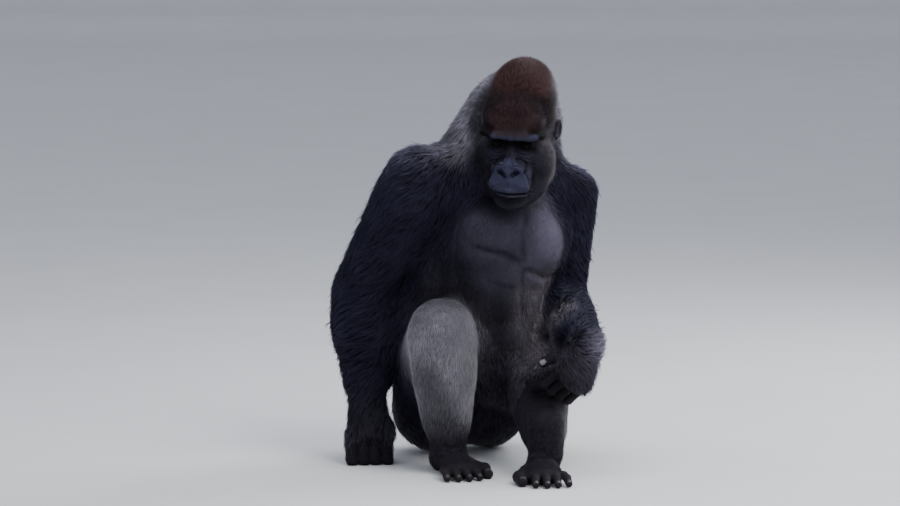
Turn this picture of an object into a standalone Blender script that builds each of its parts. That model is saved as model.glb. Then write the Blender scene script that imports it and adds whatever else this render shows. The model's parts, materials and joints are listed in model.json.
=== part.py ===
"""A seated adult male western lowland gorilla, life size, as closed solids out to the tips of its coat.

Metres, +Z up. The animal faces -Y, its left side is +X, and the floor is z = 0.
Every body region is a set of rounded masses fused by a voxel remesh, smoothed and thinned to few triangles.
Neighbouring regions are parted by thin slabs or by taking a slightly grown copy of one from the other.
"""

import math

import bmesh
import bpy
import numpy as np
from mathutils import Matrix, Vector

NAME = "gorilla_seated_silverback"

# ---- joints of the skeleton, before the whole is centred over its footprint
PELVIS = Vector((0.043, 0.045, 0.165))
CHEST = Vector((0.030, -0.110, 0.560))
SHOULDERS = Vector((0.027, -0.135, 0.735))
NECK = Vector((0.052, -0.180, 0.880))
HEAD = Vector((0.029, -0.298, 0.895))
R_HIP = Vector((-0.053, 0.035, 0.165))
R_KNEE = Vector((-0.169, -0.250, 0.380))
R_ANKLE = Vector((-0.150, -0.246, 0.085))
L_HIP = Vector((0.140, 0.055, 0.165))
L_KNEE = Vector((0.116, -0.222, 0.250))
L_ANKLE = Vector((0.046, -0.432, 0.085))
R_SHOULDER = Vector((-0.207, -0.135, 0.730))
R_ELBOW = Vector((-0.270, 0.055, 0.465))
R_WRIST = Vector((-0.272, 0.000, 0.165))
L_SHOULDER = Vector((0.250, -0.160, 0.725))
L_ELBOW = Vector((0.285, -0.052, 0.415))
L_WRIST = Vector((0.172, -0.408, 0.346))

# ---- the chest and belly are turned a little to its left over the pelvis, degrees
CHEST_TWIST = 11.0
BELLY_TWIST = 6.0

# ---- turn of the head about its own centre, degrees
HEAD_YAW = -36.0
HEAD_PITCH = 18.0
HEAD_ROLL = 4.0

# ---- sizes of the head, in its own frame: X to its left, -Y out of the face, Z up
EYE_X = 0.0385
EYE_Y = -0.0990
EYE_Z = 0.0145
EYE_R = 0.0118
EAR_X = 0.0990
EAR_Y = 0.0080
EAR_Z = 0.0180
CREST_TOP = 0.196

# ---- directions of the left hand, which hangs over the knee
L_PALM_DIR = Vector((-0.500, -0.250, -0.830)).normalized()
L_BACK_DIR = Vector((0.300, -0.935, 0.140)).normalized()
FINGER_PITCH = 0.0318
PALM_LENGTH = 0.1080

# ---- radii of the limbs with their coat: root, middle, joint, bulge below it, low, end
R_ARM_SIZES = (0.110, 0.098, 0.086, 0.096, 0.074, 0.050)
L_ARM_SIZES = (0.090, 0.080, 0.071, 0.076, 0.064, 0.050)
R_LEG_SIZES = (0.130, 0.120, 0.100, 0.098, 0.080, 0.056)
L_LEG_SIZES = (0.130, 0.114, 0.090, 0.088, 0.074, 0.054)

# ---- planes where the arms leave the trunk and the neck leaves the shoulders
R_ARMPIT = Vector((-0.168, -0.090, 0.700))
R_ARMPIT_OUT = Vector((-1.0, 0.05, 0.12)).normalized()
L_ARMPIT = Vector((0.214, -0.090, 0.700))
L_ARMPIT_OUT = Vector((1.0, 0.05, 0.12)).normalized()
NECK_BASE = Vector((0.050, -0.150, 0.868))
NECK_UP = Vector((0.0, -0.30, 0.954)).normalized()

# ---- plane where the head leaves the neck, in the head's frame: from behind the crest to behind the chin
SKULL_BACK = Vector((0.0, 0.045, 0.0))
SKULL_OUT = Vector((0.0, 0.80, -0.60))

# ---- working sizes
GAP = 0.0004
SLAB = 0.0005
BODY_VOXEL = 0.0095
HEAD_VOXEL = 0.0052

COAT = ("coat_black", (0.030, 0.029, 0.036), 0.75)
SADDLE = ("coat_grey", (0.230, 0.225, 0.235), 0.75)
BARE = ("bare_skin", (0.055, 0.053, 0.062), 0.48)
EYE = ("eye", (0.035, 0.018, 0.010), 0.12)


def clear_scene():
    """Remove everything the file opens with."""
    for item in list(bpy.data.objects):
        bpy.data.objects.remove(item, do_unlink=True)
    for item in list(bpy.data.meshes):
        bpy.data.meshes.remove(item)
    for item in list(bpy.data.materials):
        bpy.data.materials.remove(item)


def collection(title):
    """Return a collection of this name linked to the scene."""
    made = bpy.data.collections.new(title)
    bpy.context.scene.collection.children.link(made)
    return made


def material(name, finish):
    """Return a Principled material for one node."""
    made = bpy.data.materials.new(name)
    made.use_nodes = True
    shader = made.node_tree.nodes["Principled BSDF"]
    shader.inputs["Base Color"].default_value = (*finish[1], 1.0)
    shader.inputs["Roughness"].default_value = finish[2]
    made.diffuse_color = (*finish[1], 1.0)
    return made


def aimed(centre, radii, along=None, across=None):
    """Return the matrix of an ellipsoid: its third radius lies along one direction, its first near another."""
    turn = Matrix.Identity(3)
    if along is not None:
        z = Vector(along).normalized()
        x = Vector(across) if across is not None else Vector((1.0, 0.0, 0.0))
        x = x - x.dot(z) * z
        if x.length < 1e-6:
            x = z.orthogonal()
        x.normalize()
        y = z.cross(x)
        turn = Matrix((x, y, z)).transposed()
    scale = Matrix.Diagonal((*radii, 1.0))
    return Matrix.Translation(centre) @ turn.to_4x4() @ scale


class Body:
    """Rounded masses gathered in one mesh and then fused into a single solid."""

    def __init__(self, place=None):
        self.bm = bmesh.new()
        self.place = place if place is not None else Matrix.Identity(4)

    def mass(self, centre, radii, along=None, across=None, detail=3):
        """Add one ellipsoid."""
        matrix = self.place @ aimed(Vector(centre), radii, along, across)
        bmesh.ops.create_icosphere(self.bm, subdivisions=detail, radius=1.0, matrix=matrix)

    def pair(self, centre, radii, along=None, across=None):
        """Add an ellipsoid and its mirror image across the middle of the body's own frame."""
        self.mass(centre, radii, along, across)
        other = Vector((-centre[0], centre[1], centre[2]))
        lean = Vector((-along[0], along[1], along[2])) if along is not None else None
        side = Vector((-across[0], across[1], across[2])) if across is not None else None
        self.mass(other, radii, lean, side)

    def limb(self, stations, across=None, steps=6, stretch=1.15):
        """Add a run of masses along stations of (point, half width, half depth)."""
        for first, second in zip(stations[:-1], stations[1:]):
            a, b = Vector(first[0]), Vector(second[0])
            along = b - a
            reach = along.length / steps
            for i in range(steps + 1):
                t = i / steps
                ease = t * t * (3.0 - 2.0 * t)
                wide = first[1] + (second[1] - first[1]) * ease
                deep = first[2] + (second[2] - first[2]) * ease
                length = max(reach * stretch, 0.85 * min(wide, deep))
                self.mass(a.lerp(b, t), (wide, deep, length), along, across, detail=2)

    def whole(self, name):
        """Return the masses as one object, without fusing them."""
        mesh = bpy.data.meshes.new(name)
        self.bm.to_mesh(mesh)
        self.bm.free()
        made = bpy.data.objects.new(name, mesh)
        bpy.context.scene.collection.objects.link(made)
        return made

    def fuse(self, name, voxel, smooth):
        """Return one closed object made of all the masses, with soft hollows where they meet."""
        mesh = bpy.data.meshes.new(name)
        self.bm.to_mesh(mesh)
        self.bm.free()
        made = bpy.data.objects.new(name, mesh)
        bpy.context.scene.collection.objects.link(made)
        remesh = made.modifiers.new("fuse", "REMESH")
        remesh.mode = "VOXEL"
        remesh.voxel_size = voxel
        remesh.adaptivity = 0.0
        soften = made.modifiers.new("soften", "SMOOTH")
        soften.factor = 0.5
        soften.iterations = smooth
        settle(made)
        return made


def settle(item):
    """Write an object's modifiers into its mesh."""
    graph = bpy.context.evaluated_depsgraph_get()
    mesh = bpy.data.meshes.new_from_object(item.evaluated_get(graph))
    item.modifiers.clear()
    old = item.data
    item.data = mesh
    bpy.data.meshes.remove(old)


def thin_to(item, triangles):
    """Lower an object's triangle count to about the one given, keeping most where it curves."""
    item.data.calc_loop_triangles()
    have = len(item.data.loop_triangles)
    if have <= triangles:
        return
    fewer = item.modifiers.new("fewer", "DECIMATE")
    fewer.decimate_type = "COLLAPSE"
    fewer.ratio = triangles / have
    fewer.use_collapse_triangulate = True
    settle(item)


def combine(item, tool, operation="DIFFERENCE"):
    """Run one exact Boolean of an object with a tool, and settle it."""
    step = item.modifiers.new("boolean", "BOOLEAN")
    step.operation = operation
    step.solver = "EXACT"
    step.object = tool
    bpy.context.view_layer.update()
    settle(item)


def drop(item):
    """Remove a helper object."""
    mesh = item.data
    bpy.data.objects.remove(item, do_unlink=True)
    bpy.data.meshes.remove(mesh)


def grown(item, by):
    """Return a copy of an object swollen along its normals."""
    copy = item.copy()
    copy.data = item.data.copy()
    bpy.context.scene.collection.objects.link(copy)
    swell = copy.modifiers.new("swell", "DISPLACE")
    swell.mid_level = 0.0
    swell.strength = by
    settle(copy)
    return copy


def make_room(item, *others):
    """Take slightly grown copies of other objects from this one, so that they meet with a hair of space."""
    for other in others:
        tool = grown(other, GAP)
        combine(item, tool)
        drop(tool)
    keep_largest(item)


def disc(centre, normal, radius, thick=SLAB):
    """Return a thin round slab for parting a body."""
    bm = bmesh.new()
    turn = Vector(normal).to_track_quat("Z", "Y").to_matrix().to_4x4()
    matrix = Matrix.Translation(centre) @ turn
    bmesh.ops.create_cone(
        bm, cap_ends=True, segments=24, radius1=radius, radius2=radius, depth=thick, matrix=matrix
    )
    mesh = bpy.data.meshes.new("slab")
    bm.to_mesh(mesh)
    bm.free()
    made = bpy.data.objects.new("slab", mesh)
    bpy.context.scene.collection.objects.link(made)
    return made


def islands(mesh):
    """Return lists of the vertex numbers of each loose piece of a mesh."""
    parent = list(range(len(mesh.vertices)))

    def root(i):
        while parent[i] != i:
            parent[i] = parent[parent[i]]
            i = parent[i]
        return i

    for edge in mesh.edges:
        a, b = root(edge.vertices[0]), root(edge.vertices[1])
        if a != b:
            parent[a] = b
    groups = {}
    for i in range(len(mesh.vertices)):
        groups.setdefault(root(i), []).append(i)
    return sorted(groups.values(), key=len, reverse=True)


def keep_only(item, numbers):
    """Keep only the vertices with these numbers."""
    wanted = set(numbers)
    bm = bmesh.new()
    bm.from_mesh(item.data)
    bm.verts.ensure_lookup_table()
    gone = [v for v in bm.verts if v.index not in wanted]
    bmesh.ops.delete(bm, geom=gone, context="VERTS")
    bm.to_mesh(item.data)
    bm.free()


def keep_largest(item):
    """Drop any crumbs a Boolean left behind."""
    groups = islands(item.data)
    if len(groups) > 1:
        keep_only(item, groups[0])


def part_by(item, slabs, names):
    """Part one object by thin slabs into named pieces, each known by a point near its middle."""
    for centre, normal, radius in slabs:
        tool = disc(centre, normal, radius)
        combine(item, tool)
        drop(tool)
    groups = islands(item.data)[: len(names)]
    co = np.array([v.co[:] for v in item.data.vertices])
    centres = [co[g].mean(axis=0) for g in groups]
    pieces = {}
    free = list(range(len(groups)))
    for name, point in names.items():
        best = min(free, key=lambda k: float(np.linalg.norm(centres[k] - np.array(point))))
        free.remove(best)
        piece = item.copy()
        piece.data = item.data.copy()
        piece.name = name
        bpy.context.scene.collection.objects.link(piece)
        keep_only(piece, groups[best])
        pieces[name] = piece
    drop(item)
    return pieces


def keep_side(item, centre, normal, radius, ahead):
    """Cut an object by a thin slab and keep the piece on one side of it: ahead of the slab's normal, or behind."""
    tool = disc(centre, normal, radius)
    combine(item, tool)
    drop(tool)
    co = np.array([v.co[:] for v in item.data.vertices])
    way = np.array(Vector(normal).normalized()[:])
    kept = None
    for group in islands(item.data):
        reach = float(((co[group] - np.array(Vector(centre)[:])) @ way).mean())
        if (reach > 0.0) == ahead and (kept is None or len(group) > len(kept)):
            kept = group
    keep_only(item, kept)


def meet(near, far, centre, normal, radius):
    """Part two overlapping objects at one plane: the first keeps what is behind it, the second what is ahead."""
    keep_side(near, centre, normal, radius, False)
    keep_side(far, centre, normal, radius, True)


def miter(first, middle, last):
    """Return the direction square to the plane that halves the angle of a joint."""
    return ((middle - first).normalized() + (last - middle).normalized()).normalized()


def floor_cut(item, level=0.0):
    """Cut an object flat at the floor."""
    bm = bmesh.new()
    matrix = Matrix.Translation((0.0, 0.0, level - 0.5)) @ Matrix.Diagonal((4.0, 4.0, 1.0, 1.0))
    bmesh.ops.create_cube(bm, size=1.0, matrix=matrix)
    mesh = bpy.data.meshes.new("floor")
    bm.to_mesh(mesh)
    bm.free()
    tool = bpy.data.objects.new("floor", mesh)
    bpy.context.scene.collection.objects.link(tool)
    combine(item, tool)
    drop(tool)
    keep_largest(item)


def head_frame():
    """Return the matrix that takes the head's own frame to the body's."""
    yaw = Matrix.Rotation(math.radians(HEAD_YAW), 4, "Z")
    pitch = Matrix.Rotation(math.radians(HEAD_PITCH), 4, "X")
    roll = Matrix.Rotation(math.radians(HEAD_ROLL), 4, "Y")
    return Matrix.Translation(HEAD) @ yaw @ pitch @ roll


def turned(about, degrees):
    """Return the matrix of a turn about an upright line through a point."""
    spin = Matrix.Rotation(math.radians(degrees), 4, "Z")
    return Matrix.Translation(about) @ spin @ Matrix.Translation(-about)


def build_upper_body():
    """Return the trunk with the neck and both upper arms as one solid."""
    body = Body()
    left = Vector((1.0, 0.0, 0.0))
    up = Vector((0.0, -0.25, 1.0))
    # pelvis and rump
    body.mass(PELVIS + Vector((0.0, 0.005, 0.010)), (0.200, 0.150, 0.165))
    for side in (-1.0, 1.0):
        body.mass(PELVIS + Vector((side * 0.082, 0.045, -0.040)), (0.122, 0.125, 0.135))
    body.mass(PELVIS + Vector((-0.002, 0.045, 0.060)), (0.175, 0.125, 0.170))
    body.mass((0.038, 0.045, 0.400), (0.165, 0.110, 0.200))
    # belly
    body.place = turned(PELVIS, BELLY_TWIST)
    body.mass((0.032, -0.020, 0.330), (0.212, 0.180, 0.180))
    body.mass((-0.084, 0.000, 0.330), (0.146, 0.150, 0.200))
    body.mass((0.038, -0.115, 0.350), (0.165, 0.135, 0.150))
    body.mass((0.040, -0.125, 0.285), (0.140, 0.118, 0.115))
    body.mass((0.040, -0.112, 0.225), (0.110, 0.096, 0.088))
    # chest, back and shoulders
    body.place = turned(CHEST, CHEST_TWIST)
    body.mass(CHEST + Vector((-0.004, 0.010, -0.030)), (0.205, 0.190, 0.240), up, left)
    body.mass(CHEST + Vector((0.0, 0.060, -0.070)), (0.175, 0.145, 0.230), up, left)
    for side in (-1.0, 1.0):
        body.mass(CHEST + Vector((side * 0.080, 0.055, 0.040)), (0.125, 0.120, 0.190), up, left)
        body.mass(CHEST + Vector((side * 0.110, -0.060, 0.020)), (0.090, 0.110, 0.160), up, left)
        body.mass(SHOULDERS + Vector((side * 0.105, 0.012, 0.000)), (0.110, 0.112, 0.095))
        body.mass(SHOULDERS + Vector((side * 0.080, 0.000, 0.052)), (0.105, 0.105, 0.094))
    body.mass(SHOULDERS + Vector((0.005, 0.045, -0.020)), (0.175, 0.145, 0.135))
    body.mass((0.116, -0.242, 0.606), (0.094, 0.070, 0.086), (-0.35, 0.0, 1.0), left)
    body.mass((-0.058, -0.242, 0.610), (0.128, 0.058, 0.094), (0.30, 0.0, 1.0), left)
    body.mass((0.032, -0.222, 0.690), (0.140, 0.080, 0.090))
    # neck, rising from between the shoulders to the back of the head
    body.place = Matrix.Identity(4)
    body.limb(
        [
            (SHOULDERS + Vector((0.016, 0.035, 0.020)), 0.205, 0.130),
            (NECK + Vector((0.002, 0.030, -0.030)), 0.178, 0.135),
            (NECK + Vector((-0.004, -0.016, 0.060)), 0.132, 0.118),
            (HEAD + Vector((0.024, 0.048, 0.108)), 0.096, 0.092),
        ],
        left,
        steps=5,
    )
    body.mass(HEAD + Vector((0.012, 0.030, -0.090)), (0.110, 0.110, 0.080))
    # the high muscle of the leaning shoulder
    body.mass((-0.172, -0.105, 0.782), (0.098, 0.095, 0.088))
    # the fold of the left flank over the hip
    body.mass((0.186, -0.050, 0.298), (0.086, 0.105, 0.086))
    # upper arms, running on a little past the elbow
    for shoulder, elbow, wrist, sizes in (
        (R_SHOULDER, R_ELBOW, R_WRIST, R_ARM_SIZES),
        (L_SHOULDER, L_ELBOW, L_WRIST, L_ARM_SIZES),
    ):
        middle = shoulder.lerp(elbow, 0.50)
        body.limb(
            [
                (shoulder, sizes[0], sizes[0]),
                (middle, sizes[1], sizes[1]),
                (elbow, sizes[2], sizes[2]),
            ],
            steps=6,
        )
        body.limb([(elbow, sizes[2], sizes[2]), (elbow.lerp(wrist, 0.12), sizes[2], sizes[2])], steps=2)
        inward = (SHOULDERS - shoulder) * 0.30 + Vector((0.0, 0.0, 0.020))
        body.mass(shoulder + inward, (sizes[0] * 0.98, sizes[0] * 1.02, sizes[0] * 0.92))
    whole = body.fuse("upper_body", BODY_VOXEL, 26)
    thin_to(whole, 1200)
    floor_cut(whole)
    return whole


def build_head():
    """Return the head without eyes or ears, in the body's frame."""
    body = Body(head_frame())
    body.mass((0.0, 0.020, 0.050), (0.100, 0.125, 0.100))
    body.mass((0.004, 0.050, 0.080), (0.098, 0.118, CREST_TOP - 0.080))
    body.mass((0.0, 0.040, 0.120), (0.074, 0.090, CREST_TOP - 0.124))
    body.mass((0.0, -0.040, 0.070), (0.080, 0.075, 0.080))
    body.mass((0.0, 0.115, 0.040), (0.090, 0.080, 0.110))
    body.pair((0.056, 0.010, 0.045), (0.046, 0.085, 0.078))
    # brow ridge
    body.mass((0.0, -0.104, 0.046), (0.060, 0.026, 0.017))
    body.pair((0.046, -0.098, 0.047), (0.034, 0.026, 0.016))
    body.pair((0.071, -0.078, 0.040), (0.019, 0.026, 0.019))
    # middle of the face
    body.mass((0.0, -0.078, -0.010), (0.066, 0.038, 0.060))
    body.mass((0.0, -0.108, -0.008), (0.017, 0.028, 0.040))
    body.pair((0.058, -0.070, -0.020), (0.030, 0.030, 0.026))
    # lids round the eyes
    body.pair((EYE_X, EYE_Y + 0.001, EYE_Z + 0.001), (0.0190, 0.0155, 0.0155))
    # muzzle, nose and lips
    body.mass((0.0, -0.112, -0.070), (0.060, 0.050, 0.044))
    body.pair((0.024, -0.126, -0.080), (0.038, 0.038, 0.029))
    body.mass((0.0, -0.146, -0.036), (0.016, 0.020, 0.018))
    body.pair((0.0210, -0.146, -0.046), (0.0185, 0.0200, 0.0165), (0.5, 0.0, 1.0))
    body.mass((0.0, -0.118, -0.108), (0.043, 0.036, 0.022))
    body.mass((0.0, -0.094, -0.138), (0.050, 0.044, 0.038))
    # cheeks, jaw and throat
    body.pair((0.066, -0.040, -0.052), (0.045, 0.058, 0.068))
    body.pair((0.052, -0.060, -0.100), (0.044, 0.048, 0.050))
    body.mass((0.0, -0.030, -0.105), (0.078, 0.085, 0.066))
    body.mass((0.0, -0.052, -0.112), (0.090, 0.072, 0.070))
    whole = body.fuse("head", HEAD_VOXEL, 3)
    frame = head_frame()
    # the nostrils and the line of the mouth
    hollow = Body(frame)
    for side in (-1.0, 1.0):
        hollow.mass((side * 0.0125, -0.1640, -0.0500), (0.0072, 0.0100, 0.0058))
    hollow.limb(
        [
            ((-0.050, -0.120, -0.101), 0.0060, 0.0032),
            ((-0.025, -0.153, -0.098), 0.0060, 0.0032),
            ((0.025, -0.153, -0.098), 0.0060, 0.0032),
            ((0.050, -0.120, -0.101), 0.0060, 0.0032),
        ],
        (0.0, 1.0, 0.0),
        steps=12,
        stretch=1.6,
    )
    tool = hollow.fuse("hollow", 0.0015, 1)
    combine(whole, tool)
    drop(tool)
    keep_largest(whole)
    again = whole.modifiers.new("fuse", "REMESH")
    again.mode = "VOXEL"
    again.voxel_size = 0.0040
    soften = whole.modifiers.new("soften", "SMOOTH")
    soften.factor = 0.5
    soften.iterations = 3
    settle(whole)
    thin_to(whole, 1500)
    # the openings between the lids
    for side in (-1.0, 1.0):
        slot = Body(frame)
        slot.mass((side * EYE_X, EYE_Y - 0.0130, EYE_Z - 0.0015), (0.0140, 0.0100, 0.0052), detail=2)
        lens = slot.whole("lens")
        combine(whole, lens)
        drop(lens)
    return whole


def build_eye(name, side):
    """Return one eyeball."""
    bm = bmesh.new()
    place = head_frame() @ Matrix.Translation((side * EYE_X, EYE_Y, EYE_Z))
    turn = place @ Matrix.Rotation(math.radians(90.0), 4, "X")
    bmesh.ops.create_uvsphere(bm, u_segments=10, v_segments=7, radius=EYE_R, matrix=turn)
    mesh = bpy.data.meshes.new(name)
    bm.to_mesh(mesh)
    bm.free()
    made = bpy.data.objects.new(name, mesh)
    bpy.context.scene.collection.objects.link(made)
    return made


def build_ear(name, side):
    """Return one ear: a small cupped shell with a thick rim."""
    body = Body(head_frame() @ Matrix.Translation((side * EAR_X, EAR_Y, EAR_Z)))
    rim = 14
    for i in range(rim):
        angle = math.radians(-60.0 + 280.0 * i / (rim - 1))
        y = 0.013 * math.cos(angle)
        z = 0.021 * math.sin(angle)
        body.mass((side * (0.006 + 0.25 * y), y, z), (0.0050, 0.0055, 0.0055), detail=2)
    body.mass((0.0, 0.002, 0.0), (0.0060, 0.0150, 0.0210))
    body.mass((-side * 0.004, -0.004, -0.004), (0.0090, 0.0110, 0.0150))
    made = body.fuse(name, 0.0022, 2)
    thin_to(made, 104)
    return made


def build_forearm(name, points, sizes, triangles):
    """Return a forearm from a little above the elbow to past the wrist."""
    shoulder, elbow, wrist = points
    body = Body()
    bulge = elbow.lerp(wrist, 0.32)
    low = elbow.lerp(wrist, 0.78)
    body.limb([(elbow.lerp(shoulder, 0.12), sizes[2], sizes[2]), (elbow, sizes[2], sizes[2])], steps=2)
    body.limb(
        [
            (elbow, sizes[2], sizes[2]),
            (bulge, sizes[3], sizes[3]),
            (low, sizes[4], sizes[4]),
            (wrist, sizes[5], sizes[5]),
        ],
        steps=5,
    )
    made = body.fuse(name, 0.0085, 6)
    thin_to(made, triangles)
    return made


def build_leg(name, points, sizes, triangles):
    """Return a whole leg from hip to ankle."""
    hip, knee, ankle = points
    body = Body()
    middle = hip.lerp(knee, 0.50)
    calf = knee.lerp(ankle, 0.35)
    low = knee.lerp(ankle, 0.75)
    body.limb(
        [
            (hip, sizes[0], sizes[0]),
            (middle, sizes[1], sizes[1]),
            (knee, sizes[2], sizes[2]),
        ],
        steps=6,
    )
    body.limb(
        [
            (knee, sizes[2], sizes[2]),
            (calf, sizes[3], sizes[3]),
            (low, sizes[4], sizes[4]),
            (ankle, sizes[5], sizes[5]),
        ],
        steps=5,
    )
    made = body.fuse(name, 0.0085, 6)
    thin_to(made, triangles)
    return made


def foot_frame(heel, toe):
    """Return the matrix of a foot's own frame: origin under the heel, -Y to the toes, Z up."""
    ahead = Vector((toe[0] - heel[0], toe[1] - heel[1], 0.0)).normalized()
    x = Vector((-ahead.y, ahead.x, 0.0))
    turn = Matrix((x, -ahead, Vector((0.0, 0.0, 1.0)))).transposed()
    return Matrix.Translation((heel[0], heel[1], 0.0)) @ turn.to_4x4()


def build_foot(name, ankle, frame, inner):
    """Return the foot without toes. Its inner side is +X of its frame when inner is 1."""
    body = Body(frame)
    local = frame.inverted() @ ankle
    body.mass((0.0, -0.020, 0.032), (0.040, 0.045, 0.042))
    body.limb(
        [
            ((0.0, -0.030, 0.034), 0.040, 0.036),
            ((inner * 0.004, -0.110, 0.034), 0.046, 0.034),
            ((inner * 0.004, -0.168, 0.021), 0.052, 0.024),
        ],
        (1.0, 0.0, 0.0),
        steps=6,
    )
    body.limb(
        [
            (local + Vector((0.0, 0.0, 0.030)), 0.063, 0.063),
            (local + Vector((0.0, -0.002, -0.020)), 0.054, 0.056),
            ((inner * 0.003, -0.075, 0.045), 0.044, 0.050),
        ],
        steps=5,
    )
    body.mass((inner * 0.036, -0.100, 0.024), (0.026, 0.040, 0.024))
    made = body.fuse(name, 0.0060, 4)
    thin_to(made, 240)
    floor_cut(made)
    return made


def build_digit(name, points, radii, triangles, floor=False):
    """Return one finger or toe along its joints."""
    body = Body()
    stations = [(Vector(p), r, r) for p, r in zip(points, radii)]
    body.limb(stations, steps=5)
    made = body.fuse(name, 0.0032, 3)
    thin_to(made, triangles)
    if floor:
        floor_cut(made)
    return made


def build_toes(side, frame, inner):
    """Return the five toes of one foot."""
    made = {}
    start = (0.038, 0.0125, -0.0125, -0.0370)
    reach = (0.058, 0.062, 0.058, 0.050)
    names = ("second", "third", "fourth", "fifth")
    for i in range(4):
        x = inner * (start[i] - 0.008)
        spread = inner * (0.004 - 0.004 * i)
        base = frame @ Vector((x, -0.168, 0.024))
        middle = frame @ Vector((x + spread * 0.6, -0.168 - reach[i] * 0.55, 0.020))
        tip = frame @ Vector((x + spread, -0.168 - reach[i], 0.0085))
        toe = f"toe_{side}_{names[i]}"
        made[toe] = build_digit(toe, (base, middle, tip), (0.0125, 0.0122, 0.0105), 54, floor=True)
    base = frame @ Vector((inner * 0.046, -0.095, 0.020))
    middle = frame @ Vector((inner * 0.070, -0.150, 0.0165))
    tip = frame @ Vector((inner * 0.066, -0.196, 0.0125))
    toe = f"toe_{side}_big"
    made[toe] = build_digit(toe, (base, middle, tip), (0.0220, 0.0190, 0.0150), 80, floor=True)
    return made


def build_left_hand():
    """Return the palm and fingers of the hand that hangs over the knee."""
    ahead = L_PALM_DIR
    back = (L_BACK_DIR - L_BACK_DIR.dot(ahead) * ahead).normalized()
    thumb_side = ahead.cross(back)
    body = Body()
    far = L_WRIST + PALM_LENGTH * ahead
    body.limb(
        [
            (L_WRIST - 0.030 * (L_WRIST - L_ELBOW).normalized(), 0.049, 0.047),
            (L_WRIST, 0.049, 0.045),
            (L_WRIST.lerp(far, 0.50), 0.060, 0.041),
            (far, 0.065, 0.031),
        ],
        thumb_side,
        steps=6,
    )
    body.mass(L_WRIST + 0.052 * ahead + 0.034 * thumb_side - 0.012 * back, (0.022, 0.022, 0.034), ahead)
    palm = body.fuse("hand_left", 0.0055, 4)
    thin_to(palm, 300)
    made = {}
    names = ("index", "middle", "ring", "little")
    sizes = (0.94, 1.0, 0.96, 0.84)
    for i in range(4):
        shift = (1.5 - i) * FINGER_PITCH
        size = sizes[i]
        points = [far + shift * thumb_side - 0.004 * back]
        for bend, length in ((44.0, 0.058), (84.0, 0.040), (114.0, 0.027)):
            angle = math.radians(bend)
            step = math.cos(angle) * ahead - math.sin(angle) * back
            points.append(points[-1] + size * length * step)
        finger = f"finger_left_{names[i]}"
        radii = (0.0158 * size, 0.0164 * size, 0.0158 * size, 0.0134 * size)
        made[finger] = build_digit(finger, points, radii, 80)
    base = L_WRIST + 0.060 * ahead + 0.040 * thumb_side - 0.014 * back
    middle = base + 0.034 * (0.55 * ahead + 0.75 * thumb_side - 0.30 * back).normalized()
    tip = middle + 0.030 * (0.80 * ahead + 0.55 * thumb_side - 0.35 * back).normalized()
    made["thumb_left"] = build_digit("thumb_left", (base, middle, tip), (0.0175, 0.0155, 0.0120), 80)
    return palm, made


def build_right_hand():
    """Return the palm and fingers of the hand that leans on its knuckles."""
    body = Body()
    out = Vector((-0.955, 0.30, 0.0)).normalized()
    ahead = Vector((-0.30, -0.955, 0.0)).normalized()
    knuckles = Vector((R_WRIST.x, R_WRIST.y, 0.0)) + 0.012 * ahead + Vector((0.0, 0.0, 0.078))
    body.limb(
        [
            (R_WRIST + Vector((0.0, 0.0, 0.030)), 0.050, 0.047),
            (R_WRIST, 0.050, 0.045),
            (R_WRIST.lerp(knuckles, 0.5), 0.055, 0.036),
            (knuckles, 0.059, 0.028),
        ],
        out,
        steps=6,
    )
    palm = body.fuse("hand_right", 0.0055, 4)
    thin_to(palm, 260)
    made = {}
    names = ("index", "middle", "ring", "little")
    for i in range(4):
        shift = (i - 1.5) * FINGER_PITCH
        first = knuckles + shift * out
        second = Vector((first.x, first.y, 0.0)) + 0.034 * ahead + Vector((0.0, 0.0, 0.0115))
        third = second - 0.034 * ahead + Vector((0.0, 0.0, -0.001))
        fourth = third - 0.020 * ahead + Vector((0.0, 0.0, 0.016))
        finger = f"finger_right_{names[i]}"
        radii = (0.0134, 0.0136, 0.0130, 0.0110)
        made[finger] = build_digit(finger, (first, second, third, fourth), radii, 84, floor=True)
    base = R_WRIST.lerp(knuckles, 0.45) - 0.040 * out + 0.006 * ahead
    middle = base - 0.016 * out + 0.016 * ahead + Vector((0.0, 0.0, -0.028))
    tip = middle - 0.002 * out + 0.014 * ahead + Vector((0.0, 0.0, -0.026))
    made["thumb_right"] = build_digit("thumb_right", (base, middle, tip), (0.0160, 0.0140, 0.0105), 70)
    return palm, made


def build_head_nodes(nodes):
    """Make the head with its eyes and ears."""
    head = build_head()
    for name, side in (("eye_left", 1.0), ("eye_right", -1.0)):
        eye = build_eye(name, side)
        make_room(head, eye)
        nodes[name] = (eye, EYE)
    for name, side in (("ear_left", 1.0), ("ear_right", -1.0)):
        ear = build_ear(name, side)
        make_room(ear, head)
        nodes[name] = (ear, BARE)
    nodes["head"] = (head, COAT)


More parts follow.
